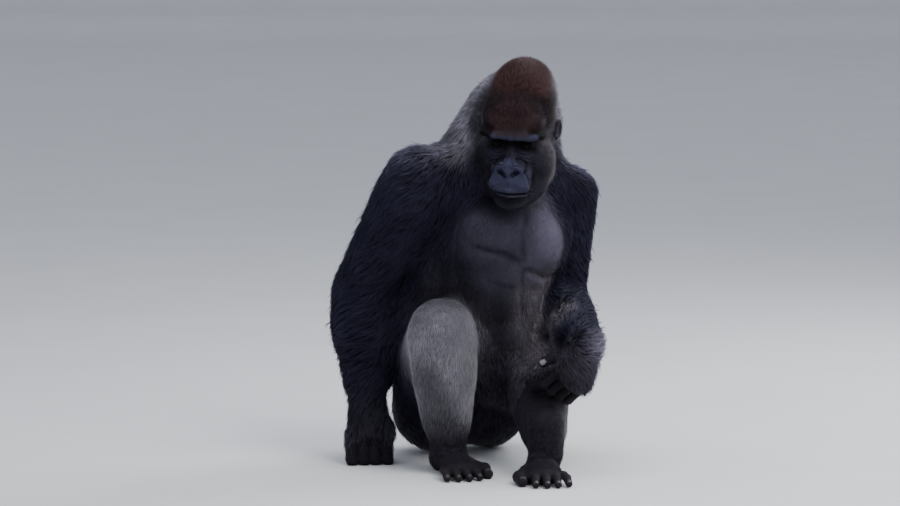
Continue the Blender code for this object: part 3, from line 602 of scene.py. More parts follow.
def head_patches(pose: Pose) -> list[Patch]:
    """Return the coat of the head, worked out in the head's own frame.

    Args:
        pose: Where the head is.

    Returns:
        The patches in the body's frame.
    """
    t, groom = Tone, Groomer(Area.HEAD, pose.head_frame())
    add, both = groom.add, groom.both
    fine, bare, nape = (1.1, 36), (1, 0), (1.8, 14)
    add(t.CREST, (0, -10, 175), (0, 100, 190), 44, (0, 0.95, 0.4), 22, 22, 9, *fine)
    both(t.CREST, (45, 0, 155), (45, 80, 165), 38, (0.2, 0.9, 0.3), 22, 22, 9, *fine)
    add(t.CREST, (0, -40, 150), (0, -40, 150), 30, (0, 0.55, 0.85), 20, 22, 9, *fine)
    # painted shade: a darker band of hair along the parting between forehead and crest, where it dips into a
    # valley
    both(t.ARC, (0, -64, 128), (30, -60, 118), 14, (0.05, 0.4, 0.92), 16, 24, 8, *fine)
    both(t.ARC, (45, -52, 108), (78, -20, 82), 17, (0.25, 0.65, 0.72), 18, 24, 9, *fine)
    add(t.FOREHEAD, (0, -98, 95), (0, -108, 74), 24, (0, 0.22, 1), 14, 26, 6, *fine)
    both(t.FOREHEAD, (28, -96, 82), (24, -100, 70), 20, (0.28, 0.35, 0.88), 14, 26, 6, *fine)
    both(t.TAN, (0, -130, 57), (36, -124, 55), 7, (0.1, 0.15, 1), 7, 16, 1, 1.1, 26, weight=1.6)
    # the same dark tone on the temples, here their own dark brown hair
    both(t.ARC, (76, -62, 60), (92, -30, 60), 22, (0.25, 0.8, 0.35), 16, 24, 6, *fine)
    both(t.ARC, (94, 6, 50), (90, 16, 90), 26, (0.15, 0.92, 0.1), 18, 24, 8, *fine)
    for side, tone in ((1, t.CHEEK_LIT), (-1, t.CHEEK)):
        add(tone, (82, -55, 5), (84, -46, -50), 26, (0.35, 0.62, -0.7), 13, 20, 5, *fine, side=side)
    # the lamp side's lower cheek and jowl get grey hair with painted rim light; the other side keeps dark
    # cheek hair
    for side, tone, reach in ((1, t.CHEEK_GREY, 30), (-1, t.CHEEK, 24)):
        add(tone, (99, -18, -10), (96, -18, -85), reach, (0.3, 0.6, -0.74), 20, 28, 9, *fine, side=side)
        add(tone, (64, -30, -155), (82, -22, -130), reach, (0.4, 0.35, -0.84), 22, 30, 9, *fine, side=side)
    both(t.CHEEK, (62, -85, -70), (56, -85, -105), 20, (0.45, 0.3, -0.84), 11, 18, 4, *fine)
    both(t.CHEEK, (62, -78, -20), (66, -74, -48), 14, (0.45, 0.4, -0.7), 8, 14, 2, 1.1, 22)
    both(t.CHIN, (0, -128, -124), (30, -120, -122), 16, (0.1, 0.25, -0.96), 10, 20, 3, *fine, weight=1.5)
    both(t.CHIN, (0, -90, -165), (45, -70, -150), 30, (0.15, 0.35, -0.92), 18, 26, 7, *fine)
    add(t.CHIN, (0, -20, -160), (0, 20, -150), 40, (0, 0.4, -0.92), 26, 20, 10)
    add(t.NAPE, (0, 175, 110), (0, 185, 50), 55, (0, 0.7, -0.7), 28, 20, 12, *nape)
    both(t.NAPE, (96, 85, 100), (100, 70, 0), 42, (0.25, 0.8, -0.5), 26, 22, 11, *nape)
    # the bare face
    add(t.FACE, (0, -115, 4), (0, -120, -30), 22, (0, 0.3, -1), 5, 10, 0, *bare)
    both(t.FACE, (30, -108, -12), (46, -98, -36), 19, (0.2, 0.3, -1), 6, 10, 0, 1, 1)
    # the brow band, own slate skin with painted sheen; it stops short on the head's right, leaving that end
    # to the sockets' painted shade
    add(t.BROW, (-40, -128, 43), (0, -134, 43), 6.2, (-0.1, 0.2, 1), 4, 12, 0, 0.9, 8, weight=1.1)
    add(t.BROW, (0, -134, 44), (62, -116, 42), 6.2, (0.1, 0.2, 1), 4, 12, 0, 0.9, 8, weight=1.1)
    # painted shade: near-black skin round the eyes and between them, for the shadow under the brow
    both(t.SOCKET, (12, -110, 20), (68, -96, 20), 15, (0.1, 0.2, 1), 5, 10, 0, *bare, weight=4)
    both(t.SOCKET, (0, -120, 30), (14, -118, 29), 10, (0.1, 0.2, 1), 5, 10, 0, *bare, weight=2)
    # nose and muzzle: own skin colour with painted sheen
    both(t.NOSE, (0, -160, -30), (22, -155, -45), 19, (0.2, 0.2, -1), 5, 10, 0, *bare, weight=1.2)
    both(t.NOSE, (0, -160, -72), (36, -148, -80), 16, (0.2, 0.2, -1), 5, 10, 0, *bare, weight=1.4)
    both(t.LIPS, (0, -158, -103), (44, -135, -104), 8.5, (0.2, 0.2, -1), 5, 10, 0, *bare, weight=1.6)
    # painted highlight along the lower lip's edge
    add(t.LIP_EDGE, (6, -156, -109), (48, -128, -116.5), 5, (0.2, 0.2, -1), 5, 10, 0, *bare, weight=1.6)
    both(t.FACE, (99, 2, 18), (109, 8, 18), 17, (0.2, 0.8, 0.2), 6, 20, 0, 1.1, 2, weight=1.5)
    return groom.made


def body_patches(pose: Pose) -> list[Patch]:
    """Return the coat of the trunk and limbs.

    Args:
        pose: Where the joints are.

    Returns:
        The patches in the body's frame.
    """
    t, groom = Tone, Groomer(Area.NECK)
    add = groom.add
    ra, la, rl, ll = pose.right_arm, pose.left_arm, pose.right_leg, pose.left_leg
    # nape and shoulders
    add(t.NAPE, (55, -130, 1045), (50, -40, 900), 70, (-0.05, 0.62, -0.78), 34, 18, 14, 2.1, 11)
    add(t.NAPE, (-70, -180, 960), (-100, -170, 885), 50, (-0.5, 0.3, -0.8), 34, 20, 13, 2.1, 11)
    add(t.NAPE, (150, -190, 970), (175, -150, 880), 56, (0.5, 0.3, -0.8), 34, 22, 13, 2.1, 11)
    add(t.NAPE, (-50, -250, 900), (-80, -215, 880), 36, (-0.5, 0.3, -0.8), 30, 18, 11, 1.9, 11)
    add(t.BLACK, (-75, -250, 800), (-130, -210, 760), 50, (-0.5, -0.1, -0.85), 40, 16, 14)
    add(t.BLACK, (150, -280, 840), (190, -240, 790), 50, (0.45, -0.05, -0.9), 36, 18, 13)
    add(t.SHEEN, (-130, -130, 875), (-200, -110, 860), 48, (-0.75, 0.2, -0.6), 46, 20, 17)
    add(t.BLACK, (-190, -150, 800), (-240, -130, 780), 60, (-0.62, 0.3, -0.72), 50, 15, 17)
    add(t.SHEEN, (200, -140, 850), (265, -150, 815), 50, (0.8, 0.2, -0.5), 42, 22, 16)
    # back
    groom.area = Area.BACK
    add(t.BLACK, (30, 20, 800), (30, 70, 720), 110, (0, 0.25, -0.95), 48, 16, 16)
    add(t.SADDLE, (40, 110, 600), (40, 150, 300), 120, (0, 0.12, -1), 36, 14, 13, 2.6, 6.4)
    add(t.SADDLE, (40, 190, 200), (40, 170, 90), 120, (0, 0.1, -1), 40, 14, 14, 2.8, 5.2)
    add(t.FLANK, (-170, 10, 620), (-160, 40, 250), 70, (-0.15, -0.1, -0.98), 52, 16, 16)
    add(t.FLANK, (225, -20, 620), (230, 40, 250), 70, (0.15, -0.1, -0.98), 52, 16, 16)
    # chest and belly
    fine, short = (1, 13), (1.4, 13)
    groom.area = Area.FRONT
    # painted light on the breast toward the lamps
    add(t.BREAST, (108, -330, 690), (124, -325, 585), 50, (0.35, -0.1, -1), 13, 13, 2, *fine)
    add(t.CHEST, (40, -330, 740), (42, -330, 540), 45, (0.1, -0.1, -1), 13, 12, 2, *fine)
    add(t.CHEST, (-20, -320, 670), (-45, -310, 590), 60, (-0.25, -0.1, -1), 14, 11, 3, *fine)
    add(t.CHEST, (-95, -290, 660), (-110, -280, 590), 50, (-0.4, -0.05, -1), 18, 11, 5, *short)
    add(t.FLANK, (-150, -260, 680), (-160, -230, 560), 50, (-0.3, 0.1, -0.95), 32, 14, 10)
    add(t.FLANK, (205, -260, 700), (205, -240, 560), 32, (0.25, 0.1, -0.95), 26, 12, 7)
    add(t.BELLY, (-120, -200, 480), (-120, -180, 330), 80, (-0.1, -0.12, -1), 25, 12, 8, *short)
    add(t.FLANK, (190, -220, 500), (185, -190, 330), 50, (0.1, -0.12, -1), 30, 12, 9)
    add(t.CHEST, (-50, -290, 505), (110, -300, 505), 34, (0, -0.12, -1), 12, 10, 3, 1.4, 6)
    add(t.BELLY, (0, -285, 440), (10, -275, 330), 46, (0, -0.12, -1), 18, 11, 5, 1.5, 10)
    add(t.STREAK, (66, -285, 480), (60, -280, 320), 32, (0, -0.12, -1), 20, 11, 5, 1.4, 13, weight=1.5)
    add(t.STREAK, (136, -268, 490), (122, -264, 330), 38, (0.05, -0.12, -1), 20, 11, 5, 1.4, 13, weight=1.5)
    add(t.BELLY, (40, -260, 250), (40, -200, 180), 80, (0, 0.1, -1), 32, 12, 9)
    # right arm
    groom.area = Area.RIGHT_ARM
    add(t.BLACK, ra.at(0.05), ra.at(0.55), 100, (-0.66, 0.28, -0.7), 52, 13, 17)
    add(t.BLACK, ra.at(0.75), ra.at(1.05), 100, (-0.76, 0.3, -0.56), 60, 15, 18)
    add(t.BLACK, ra.at(1.25), ra.at(1.6), 90, (-0.8, 0.34, -0.24), 60, 17, 18)
    add(t.FLANK, ra.at(1.72), ra.at(1.9), 60, (-0.55, 0.2, -0.6), 46, 16, 13)
    add(t.KNUCKLE, ra.at(2.0), ra.at(2.22), 46, (-0.2, -0.4, -0.9), 30, 13, 5, 1.7, 9)
    add(t.KNUCKLE, ra.at(2.38), ra.at(2.42), 34, (-0.1, -0.45, -0.88), 16, 9, 2, 1.4, 3)
    # left arm
    groom.area = Area.LEFT_ARM
    add(t.BLACK, la.at(0.05), la.at(0.55), 90, (0.5, 0.1, -0.84), 48, 14, 16)
    add(t.BLACK, la.at(0.75), la.at(1.05), 85, (0.52, 0.2, -0.78), 52, 16, 16)
    # painted shade: darker black hair on the forearm
    add(t.FOREARM, la.at(1.1), la.at(1.62), 78, (0.45, 0.5, -0.45), 52, 17, 16)
    add(t.FOREARM, la.at(1.76), la.at(1.88), 50, (0.45, 0.35, 0.1), 40, 20, 12, 2, 8)
    wrist, knuckles, curl, curl_end = Flesh.left_hand_line(pose)
    line = wrist + xyz(0.01, -0.01, -0.004), wrist.lerp(knuckles, 0.35)
    add(t.WRIST, *line, 26, (0.5, 0.1, 0.3), 40, 30, 8, 1.3, 18, weight=1.2)
    add(t.KNUCKLE, wrist.lerp(knuckles, 0.6), knuckles, 40, (0.15, -0.2, -0.94), 38, 26, 7, 1.4, 16)
    add(t.HAND, curl, curl_end, 44, (-0.35, -0.2, -0.9), 8, 8, 0, 1, 0, weight=1.4)
    # legs
    for area, leg, away in ((Area.RIGHT_LEG, rl, -1.0), (Area.LEFT_LEG, ll, 1.0)):
        groom.area = area
        add(t.FLANK, leg.at(0.0), leg.at(0.55), 110, (away * 0.15, -0.4, -0.8), 44, 14, 14)
    soft = (1.4, 19)
    groom.area = Area.RIGHT_LEG
    add(t.SHIN, rl.at(0.85), rl.at(0.98), 70, (-0.35, -0.45, -0.78), 24, 10, 8, *soft)
    add(t.SHIN, rl.at(1.15), rl.at(1.45), 80, (-0.18, -0.1, -1), 23, 9, 8, *soft)
    # painted shade low on the shin's side away from the lamps
    line = rl.at(1.35) + xyz(-0.08, -0.03, -0.02), rl.at(1.75) + xyz(-0.05, -0.05, 0.0)
    add(t.SHIN_DARK, *line, 50, (-0.18, -0.1, -1), 23, 9, 8, *soft)
    # painted highlight along the shin's side toward the rim lamp
    line = rl.at(1.02) + xyz(0.085, -0.045, 0.0), rl.at(1.62) + xyz(0.07, -0.04, 0.0)
    add(t.SHIN_PALE, *line, 44, (-0.05, -0.1, -1), 22, 9, 8, *soft, weight=1.4)
    groom.area = Area.LEFT_LEG
    add(t.BROWN, ll.at(0.85), ll.at(1.0), 70, (-0.2, -0.45, -0.78), 24, 11, 8, 1.8, 10)
    line = ll.at(1.1) + xyz(-0.05, -0.05, 0.0), ll.at(1.7) + xyz(-0.04, -0.045, 0.0)
    add(t.BROWN, *line, 70, (-0.1, -0.1, -1), 24, 10, 7, 1.7, 12)
    # painted highlight along the shin's side toward the rim lamp
    line = ll.at(1.25) + xyz(0.07, -0.032, 0.0), ll.at(1.8) + xyz(0.06, -0.026, 0.0)
    add(t.SHIN_PALE, *line, 40, (0.02, 0, -1), 22, 10, 7, *soft, weight=1.5)
    for area, leg, (heel, toe, inner) in ((Area.RIGHT_LEG, rl, RIGHT_FOOT), (Area.LEFT_LEG, ll, LEFT_FOOT)):
        place = pose.foot_frame(heel, toe)
        ahead = place.to_3x3() @ xyz(0.0, -1.0, -0.25)
        groom.area = area
        add(t.BROWN, leg.at(1.8), leg.at(1.97), 52, (0, -0.2, -1), 24, 12, 6, 1.8, 10)
        line = place @ xyz(0.0, -0.07, 0.06), place @ xyz(0.0, -0.13, 0.05)
        add(t.KNUCKLE, *line, 36, ahead, 18, 12, 3, 1.6, 10)
        soles = (
            ((-0.044, -0.205, 0.015), (0.046, -0.205, 0.015), 26),
            ((inner * 0.062, -0.13, 0.015), (inner * 0.066, -0.19, 0.012), 22),
            ((0.0, -0.02, 0.0), (0.0, -0.18, 0.0), 22),
        )
        for a, b, reach in soles:
            add(t.SOLE, place @ Vector(a), place @ Vector(b), reach, ahead, 7, 8, 0, 1, 0, weight=1.5)
    return groom.made


# ---------------------------------------------------------------- the skin


@dataclass(frozen=True)
class Fold:
    """A soft groove along points seen from the front, with a raised bank beside it. In millimetres."""

    points: tuple[tuple[float, float], ...]
    width: float
    depth: float
    bank: float = 0.45
    mirror: bool = True

    def push(self, across: np.ndarray, up: np.ndarray) -> np.ndarray:
        """Return how far the fold moves each place out of the face.

        Args:
            across: Places along the head's X.
            up: Places along the head's Z.

        Returns:
            Distances, below zero in the groove.
        """
        total = np.zeros(len(across))
        width, depth = mm(self.width, self.depth)
        for side in (1.0, -1.0) if self.mirror else (1.0,):
            near = np.full(len(across), 1.0)
            ends = np.ones(len(across))
            line = [mm(side * x, z) for x, z in self.points]
            count = len(line) - 1
            for i, ((ax, az), (bx, bz)) in enumerate(zip(line, line[1:])):
                run = max((bx - ax) ** 2 + (bz - az) ** 2, 1e-12)
                t = np.clip(((across - ax) * (bx - ax) + (up - az) * (bz - az)) / run, 0.0, 1.0)
                gap = np.hypot(across - ax - t * (bx - ax), up - az - t * (bz - az))
                along = (i + t) / count
                fade = np.clip(np.minimum(along, 1.0 - along) * 5.0, 0.0, 1.0)
                ends = np.where(gap < near, fade, ends)
                near = np.minimum(near, gap)
            groove = np.exp(-((near / width) ** 2))
            bank = np.exp(-(((near - 1.9 * width) / width) ** 2))
            total += depth * ends * (self.bank * bank - groove)
        return total


@dataclass
class Flesh:
    """Models the animal's closed surface: trunk and limbs, head, hands and feet, joined in one skin."""

    pose: Pose
    coat: CoatMap
    body_cell: float = 0.008
    head_cell: float = 0.0019
    hand_cell: float = 0.0021
    foot_cell: float = 0.0024
    lowest: float = 0.0003
    finger_pitch: float = 0.0318
    palm_length: float = 0.108
    ease_rounds: int = 14
    wanted: int = 84_000
    left_palm: Point = (-0.5, -0.25, -0.83)
    left_back: Point = (0.3, -0.935, 0.14)
    nails: list[Bed] = field(default_factory=list)
    crease_shade: np.ndarray = field(default_factory=lambda: np.zeros(0))

    def inset(self, item: bpy.types.Object, smooth: int = 2) -> None:
        """Draw a surface in by the coat's depth."""
        mesh = item.data
        points = places(mesh)
        put_places(mesh, points - normals(mesh) * self.coat.depth(points)[:, None])
        if smooth:
            soften(item, smooth)
            settle(item)

    def level(self, item: bpy.types.Object) -> None:
        """Press flat whatever would reach below the floor."""
        points = places(item.data)
        points[:, 2] = np.maximum(points[:, 2], self.lowest)
        put_places(item.data, points)

    def torso(self) -> bpy.types.Object:
        """Model the trunk, neck, arms and legs."""
        pose = self.pose
        clay = Clay()
        left, up = (1.0, 0.0, 0.0), (0.0, -0.25, 1.0)
        pelvis, chest, shoulders = vec(pose.pelvis), vec(pose.chest), vec(pose.shoulders)
        neck, head = vec(pose.neck), vec(pose.head)
        clay.mass(pelvis + xyz(0.0, 0.005, 0.01), (0.2, 0.15, 0.165))
        for side in (-1.0, 1.0):
            clay.mass(pelvis + xyz(side * 0.082, 0.045, -0.04), (0.122, 0.125, 0.135))
        clay.mass(pelvis + xyz(-0.002, 0.045, 0.06), (0.175, 0.125, 0.17))
        clay.mass((0.038, 0.045, 0.4), (0.165, 0.11, 0.2))
        clay.place = turned(pose.pelvis, pose.belly_twist)
        clay.masses(
            ((32, -20, 330), (212, 180, 180)), ((-84, 0, 330), (146, 150, 200)),
            ((38, -115, 350), (165, 135, 150)), ((40, -125, 285), (140, 118, 115)),
            ((40, -112, 225), (110, 96, 88)),
        )
        clay.place = turned(pose.chest, pose.chest_twist)
        clay.mass(chest + xyz(-0.004, 0.01, -0.03), (0.205, 0.19, 0.24), up, left)
        clay.mass(chest + xyz(0.0, 0.06, -0.07), (0.175, 0.145, 0.23), up, left)
        for side in (-1.0, 1.0):
            clay.mass(chest + xyz(side * 0.08, 0.055, 0.04), (0.125, 0.12, 0.19), up, left)
            clay.mass(chest + xyz(side * 0.11, -0.06, 0.02), (0.09, 0.11, 0.16), up, left)
            clay.mass(shoulders + xyz(side * 0.105, 0.012, 0.0), (0.11, 0.112, 0.095))
            clay.mass(shoulders + xyz(side * 0.08, 0.0, 0.052), (0.105, 0.105, 0.094))
        clay.mass(shoulders + xyz(0.005, 0.045, -0.02), (0.175, 0.145, 0.135))
        clay.mass((0.032, -0.222, 0.69), (0.14, 0.08, 0.09))
        clay.place = Matrix.Identity(4)
        clay.limb(
            [
                (shoulders + xyz(0.016, 0.035, 0.02), 0.205, 0.13),
                (neck + xyz(0.002, 0.03, -0.03), 0.178, 0.135),
                (neck + xyz(-0.004, -0.016, 0.06), 0.132, 0.118),
                (head + xyz(0.024, 0.048, 0.108), 0.096, 0.092),
            ],
            left,
            steps=5,
        )
        clay.mass(head + xyz(0.012, 0.03, -0.09), (0.11, 0.11, 0.08))
        clay.masses(
            ((-172, -105, 782), (98, 95, 88)), ((186, -50, 298), (86, 105, 86)),
        )
        for arm in (pose.right_arm, pose.left_arm):
            root, middle, bend = arm.radii[:3]
            arm.tube(clay, ((0.0, root), (0.5, middle), (1.0, bend)), 6)
            arm.tube(clay, ((1.0, bend), (1.12, bend)), 2)
            inward = (shoulders - arm.at(0.0)) * 0.3 + xyz(0.0, 0.0, 0.02)
            clay.mass(arm.at(0.0) + inward, (root * 0.98, root * 1.02, root * 0.92))
        made = clay.fuse("torso", self.body_cell, 36)
        # the breast keeps more of its form
        clay = Clay(turned(pose.chest, pose.chest_twist))
        clay.mass((0.108, -0.238, 0.606), (0.108, 0.068, 0.094), (-0.35, 0.0, 1.0), left)
        clay.mass((-0.058, -0.242, 0.61), (0.128, 0.058, 0.094), (0.3, 0.0, 1.0), left)
        breast = clay.raw("breast")
        refuse(breast, self.body_cell, 2)
        combine(made, breast, "UNION")
        refuse(made, self.body_cell, 14)
        # and so do the forearms and legs
        clay = Clay()
        for arm in (pose.right_arm, pose.left_arm):
            bend, bulge, low, end = arm.radii[2:]
            arm.tube(clay, ((1.0, bend), (1.32, bulge), (1.78, low), (2.0, end)), 5)
        fill = (
            (pose.left_arm.at(0.92) + xyz(-0.03, 0.0, 0.0), 0.06, 0.07),
            (pose.left_arm.at(1.45) + xyz(-0.024, 0.0, 0.004), 0.06, 0.066),
            (pose.left_arm.at(1.8) + xyz(-0.032, 0.01, -0.006), 0.046, 0.056),
        )
        clay.limb(fill, steps=5)
        for leg in (pose.right_leg, pose.left_leg):
            root, middle, bend, bulge, low, end = leg.radii
            leg.tube(clay, ((0.0, root), (0.5, middle), (1.0, bend)), 6)
            leg.tube(clay, ((1.0, bend), (1.35, bulge), (1.75, low), (2.0, end)), 5)
        added = clay.raw("added")
        refuse(added, self.body_cell, 5)
        combine(made, added, "UNION")
        refuse(made, self.body_cell * 0.9, 4)
        self.inset(made, 3)
        self.level(made)
        return made

    def head_clay(self) -> bpy.types.Object:
        """Model the head with its ears, nose, lips and lids."""
        frame = self.pose.head_frame()
        clay = Clay(frame)
        ex, ey, ez = EYE_PLACE
        # skull and crest
        clay.masses(
            ((0, 20, 50), (100, 125, 100)), ((4, 50, 80), (98, 118, 116)),
            ((0, 40, 120), (74, 90, 72)), ((0, -40, 70), (80, 75, 80)), ((0, 115, 40), (90, 80, 110)),
        )
        clay.masses(
            ((56, 10, 45), (46, 85, 78)), ((66, 74, 15), (46, 60, 80)),
            mirror=True,
        )
        # brow ridge
        clay.masses(
            ((0, -109, 47), (58, 27, 16)), ((42, -103, 45), (34, 27, 15)),
            ((66, -84, 45), (28, 34, 17)), ((0, -82, 68), (74, 50, 34)), ((50, -66, 66), (34, 44, 32)),
            mirror=True,
        )
        # middle of the face
        clay.masses(
            ((0, -78, -10), (66, 38, 60)), ((0, -106, -2), (16, 26, 40)),
            ((58, -70, -20), (30, 30, 26)),
            mirror=True,
        )
        clay.pair((ex, ey + 0.001, ez + 0.001), (0.019, 0.0155, 0.0155))
        # muzzle and chin
        clay.masses(
            ((0, -112, -70), (60, 50, 44)), ((24, -124, -82), (37, 36, 25)),
            ((0, -116, -112), (44, 34, 18)), ((0, -94, -138), (50, 44, 38)),
            mirror=True,
        )
        # nose: bridge pad, tip, and the thick wings round the nostrils
        clay.masses(
            ((0, -136, -28), (20, 20, 20)), ((0, -146, -44), (30, 16, 20)),
        )
        wing = (
            ((2, -149, -24), 7.8), ((18, -152, -23), 8.4), ((32.5, -146, -34), 8),
            ((37, -139, -51), 7.4), ((28, -143, -64), 6.2), ((12, -149, -69), 5.2),
        )
        clay.cord(wing, 5, mirror=True)
        clay.cord((((0, -154, -30), 5), ((0, -160, -46), 4.2), ((0, -156, -62), 5.6)), 4)
        # lips
        clay.cord((((0, -158, -92), 8.5), ((26, -150, -93), 8), ((47, -126, -101), 6.4)), 6, mirror=True)
        lower = (((0, -151, -111), 7.4), ((24, -144, -112.5), 7.2), ((44, -124, -115.5), 5.6))
        clay.cord(lower, 6, mirror=True)
        # cheeks, jaw and throat
        clay.masses(
            ((66, -40, -52), (45, 58, 68)), ((52, -60, -100), (44, 48, 50)),
            ((0, -30, -105), (78, 85, 66)), ((0, -52, -112), (90, 72, 70)),
            mirror=True,
        )
        made = clay.fuse("head", self.head_cell * 1.25, 5)
        self.inset(made, 0)
        ears = Clay(frame)
        self.ear(ears)
        combine(made, ears.fuse("ears", 0.0013, 2), "UNION")
        hollow = Clay(frame)
        for side in (-1.0, 1.0):
            nostril = (side * 0.0185, -0.156, -0.0435)
            hollow.mass(nostril, (0.0128, 0.017, 0.0078), (side * -0.45, 0.25, 1.0), (1.0, 0.0, 0.45 * side))
            hollow.mass((side * 0.0095, -0.161, -0.052), (0.006, 0.014, 0.006))
            hollow.mass((side * ex, ey - 0.0135, ez - 0.0014), (0.0132, 0.011, 0.0047))
            hollow.mass((side * (ex - 0.0125), ey - 0.015, ez - 0.0035), (0.005, 0.009, 0.0026))
        mouth = (
            (-55, -106, -112), (-45, -132, -106), (-24, -158, -101.5),
            (24, -158, -103), (45, -132, -110), (56, -106, -118),
        )
        hollow.limb([(mm(*p), 0.012, 0.0024) for p in mouth], (0.0, 1.0, 0.0), steps=10, stretch=1.6)
        combine(made, hollow.fuse("hollow", 0.0011, 1), "DIFFERENCE")
        refuse(made, self.head_cell, 2)
        self.keep_largest(made)
        return made

    @staticmethod
    def ear(clay: Clay) -> None:
        """Add both ears: a rolled rim, an inner fold, a bowl and a small lobe."""
        for side in (1.0, -1.0):
            cx, cy, cz = side * (EAR_PLACE[0] - 0.002), EAR_PLACE[1], EAR_PLACE[2]
            rim = 18
            for i in range(rim):
                angle = math.radians(-75.0 + 270.0 * i / (rim - 1))
                y, z = 0.0145 * math.cos(angle), 0.0225 * math.sin(angle)
                r = 0.0036 + 0.0008 * math.sin(math.pi * i / (rim - 1))
                clay.mass((cx + side * (0.008 + 0.22 * y), cy + y, cz + z), (r, r, r), detail=2)
                inner = (cx + side * (0.003 + 0.11 * y), cy + 0.93 * y, cz + 0.93 * z)
                clay.mass(inner, (0.0046, 0.004, 0.004), detail=2)
            for i in range(9):
                angle = math.radians(-40.0 + 150.0 * i / 8.0)
                y, z = 0.0075 * math.cos(angle), 0.013 * math.sin(angle)
                clay.mass((cx + side * (0.004 + 0.2 * y), cy + y, cz + z), (0.0026, 0.0026, 0.003), detail=2)
            clay.mass((cx - side * 0.001, cy + 0.001, cz), (0.0066, 0.015, 0.022))
            clay.mass((cx + side * 0.004, cy - 0.003, cz - 0.0225), (0.0045, 0.0058, 0.0062))
            clay.mass((cx + side * 0.003, cy - 0.012, cz - 0.004), (0.0042, 0.0034, 0.006))
            clay.mass((cx - side * 0.007, cy - 0.004, cz - 0.002), (0.009, 0.012, 0.017))

    @staticmethod
    def keep_largest(item: bpy.types.Object) -> None:
        """Drop every loose bit of a surface but its largest."""
        bm = bmesh.new()
        bm.from_mesh(item.data)
        bm.verts.ensure_lookup_table()
        seen = np.zeros(len(bm.verts), bool)
        best: list[bmesh.types.BMVert] = []
        for start in bm.verts:
            if seen[start.index]:
                continue
            seen[start.index] = True
            found, queue = [start], [start]
            while queue:
                for edge in queue.pop().link_edges:
                    for vert in edge.verts:
                        if not seen[vert.index]:
                            seen[vert.index] = True
                            found.append(vert)
                            queue.append(vert)
            if len(found) > len(best):
                best = found
        kept = set(best)
        if len(kept) < len(bm.verts):
            bmesh.ops.delete(bm, geom=[v for v in bm.verts if v not in kept], context="VERTS")
            bm.to_mesh(item.data)
        bm.free()

    def digit(self, clay: Clay, points: Sequence[Vector], radii: Place, back: Vector, nail: float) -> None:
        """Add one finger or toe with its knuckles, and note where its nail goes.

        Args:
            clay: What it is added to.
            points: Its joints and tip.
            radii: Its radius at each.
            back: The way its back faces at the tip.
            nail: The nail's half width.
        """
        clay.limb([(p, r, r) for p, r in zip(points, radii)], steps=6)
        for p, r in zip(points[1:-1], radii[1:-1]):
            clay.mass(p + back * 0.0006, (r * 1.07, r * 1.07, r * 1.07), detail=2)
        ahead = (points[-1] - points[-2]).normalized()
        away = (back - back.dot(ahead) * ahead).normalized()
        self.nails.append((points[-1] + away * (radii[-1] * 0.9) - ahead * 0.001, ahead, away, nail))

    @staticmethod
    def left_hand_axes() -> tuple[Vector, Vector, Vector]:
        """Return the ways the left palm points, its back faces and its thumb stands."""
        ahead = vec(Flesh.left_palm).normalized()
        back = vec(Flesh.left_back).normalized()
        back = (back - back.dot(ahead) * ahead).normalized()
        return ahead, back, ahead.cross(back)

    @staticmethod
    def left_hand_line(pose: Pose) -> tuple[Vector, Vector, Vector, Vector]:
        """Return a line along the back of the left hand and one through its curled fingers."""
        ahead, back, thumb_side = Flesh.left_hand_axes()
        wrist = pose.left_arm.at(2.0)
        far = wrist + Flesh.palm_length * ahead
        curl = far + 0.045 * ahead - 0.045 * back
        across = 0.04 * thumb_side
        return wrist + 0.01 * ahead + 0.03 * back, far + 0.02 * back, curl + across, curl - across

    def left_hand(self) -> bpy.types.Object:
        """Model the hand that hangs over the knee."""
        arm = self.pose.left_arm
        wrist = arm.at(2.0)
        ahead, back, thumb_side = self.left_hand_axes()
        far = wrist + self.palm_length * ahead
        clay = Clay()
        run = (wrist - arm.at(1.0)).normalized()
        palm = (
            (wrist - 0.06 * run, 0.044, 0.042),
            (wrist - 0.03 * run, 0.046, 0.043),
            (wrist, 0.047, 0.042),
            (wrist.lerp(far, 0.5), 0.058, 0.037),
            (far, 0.062, 0.028),
        )
        clay.limb(palm, thumb_side)
        clay.mass(wrist + 0.052 * ahead + 0.034 * thumb_side - 0.012 * back, (0.021, 0.021, 0.033), ahead)
        for i, size in enumerate((0.94, 1.0, 0.96, 0.84)):
            shift = (1.5 - i) * self.finger_pitch
            points = [far + shift * thumb_side - 0.004 * back]
            clay.mass(points[0] + 0.006 * back, (0.0135, 0.0135, 0.015), ahead, detail=2)
            way = ahead
            for bend, length in ((44.0, 0.058), (84.0, 0.04), (114.0, 0.027)):
                angle = math.radians(bend)
                way = math.cos(angle) * ahead - math.sin(angle) * back
                points.append(points[-1] + size * length * way)
            nail_back = math.sin(angle) * ahead + math.cos(angle) * back
            radii = [size * radius for radius in (0.0145, 0.0148, 0.014, 0.012)]
            self.digit(clay, points, radii, nail_back, 0.0078 * size)
        base = wrist + 0.06 * ahead + 0.04 * thumb_side - 0.014 * back
        middle = base + 0.034 * (0.55 * ahead + 0.75 * thumb_side - 0.3 * back).normalized()
        tip = middle + 0.03 * (0.8 * ahead + 0.55 * thumb_side - 0.35 * back).normalized()
        way = (tip - middle).normalized()
        nail_back = Studio().axes()[2] + 0.5 * thumb_side
        nail_back -= nail_back.dot(way) * way
        self.digit(clay, (base, middle, tip), (0.017, 0.0155, 0.013), nail_back.normalized(), 0.008)
        return clay.fuse("left_hand", self.hand_cell, 3)

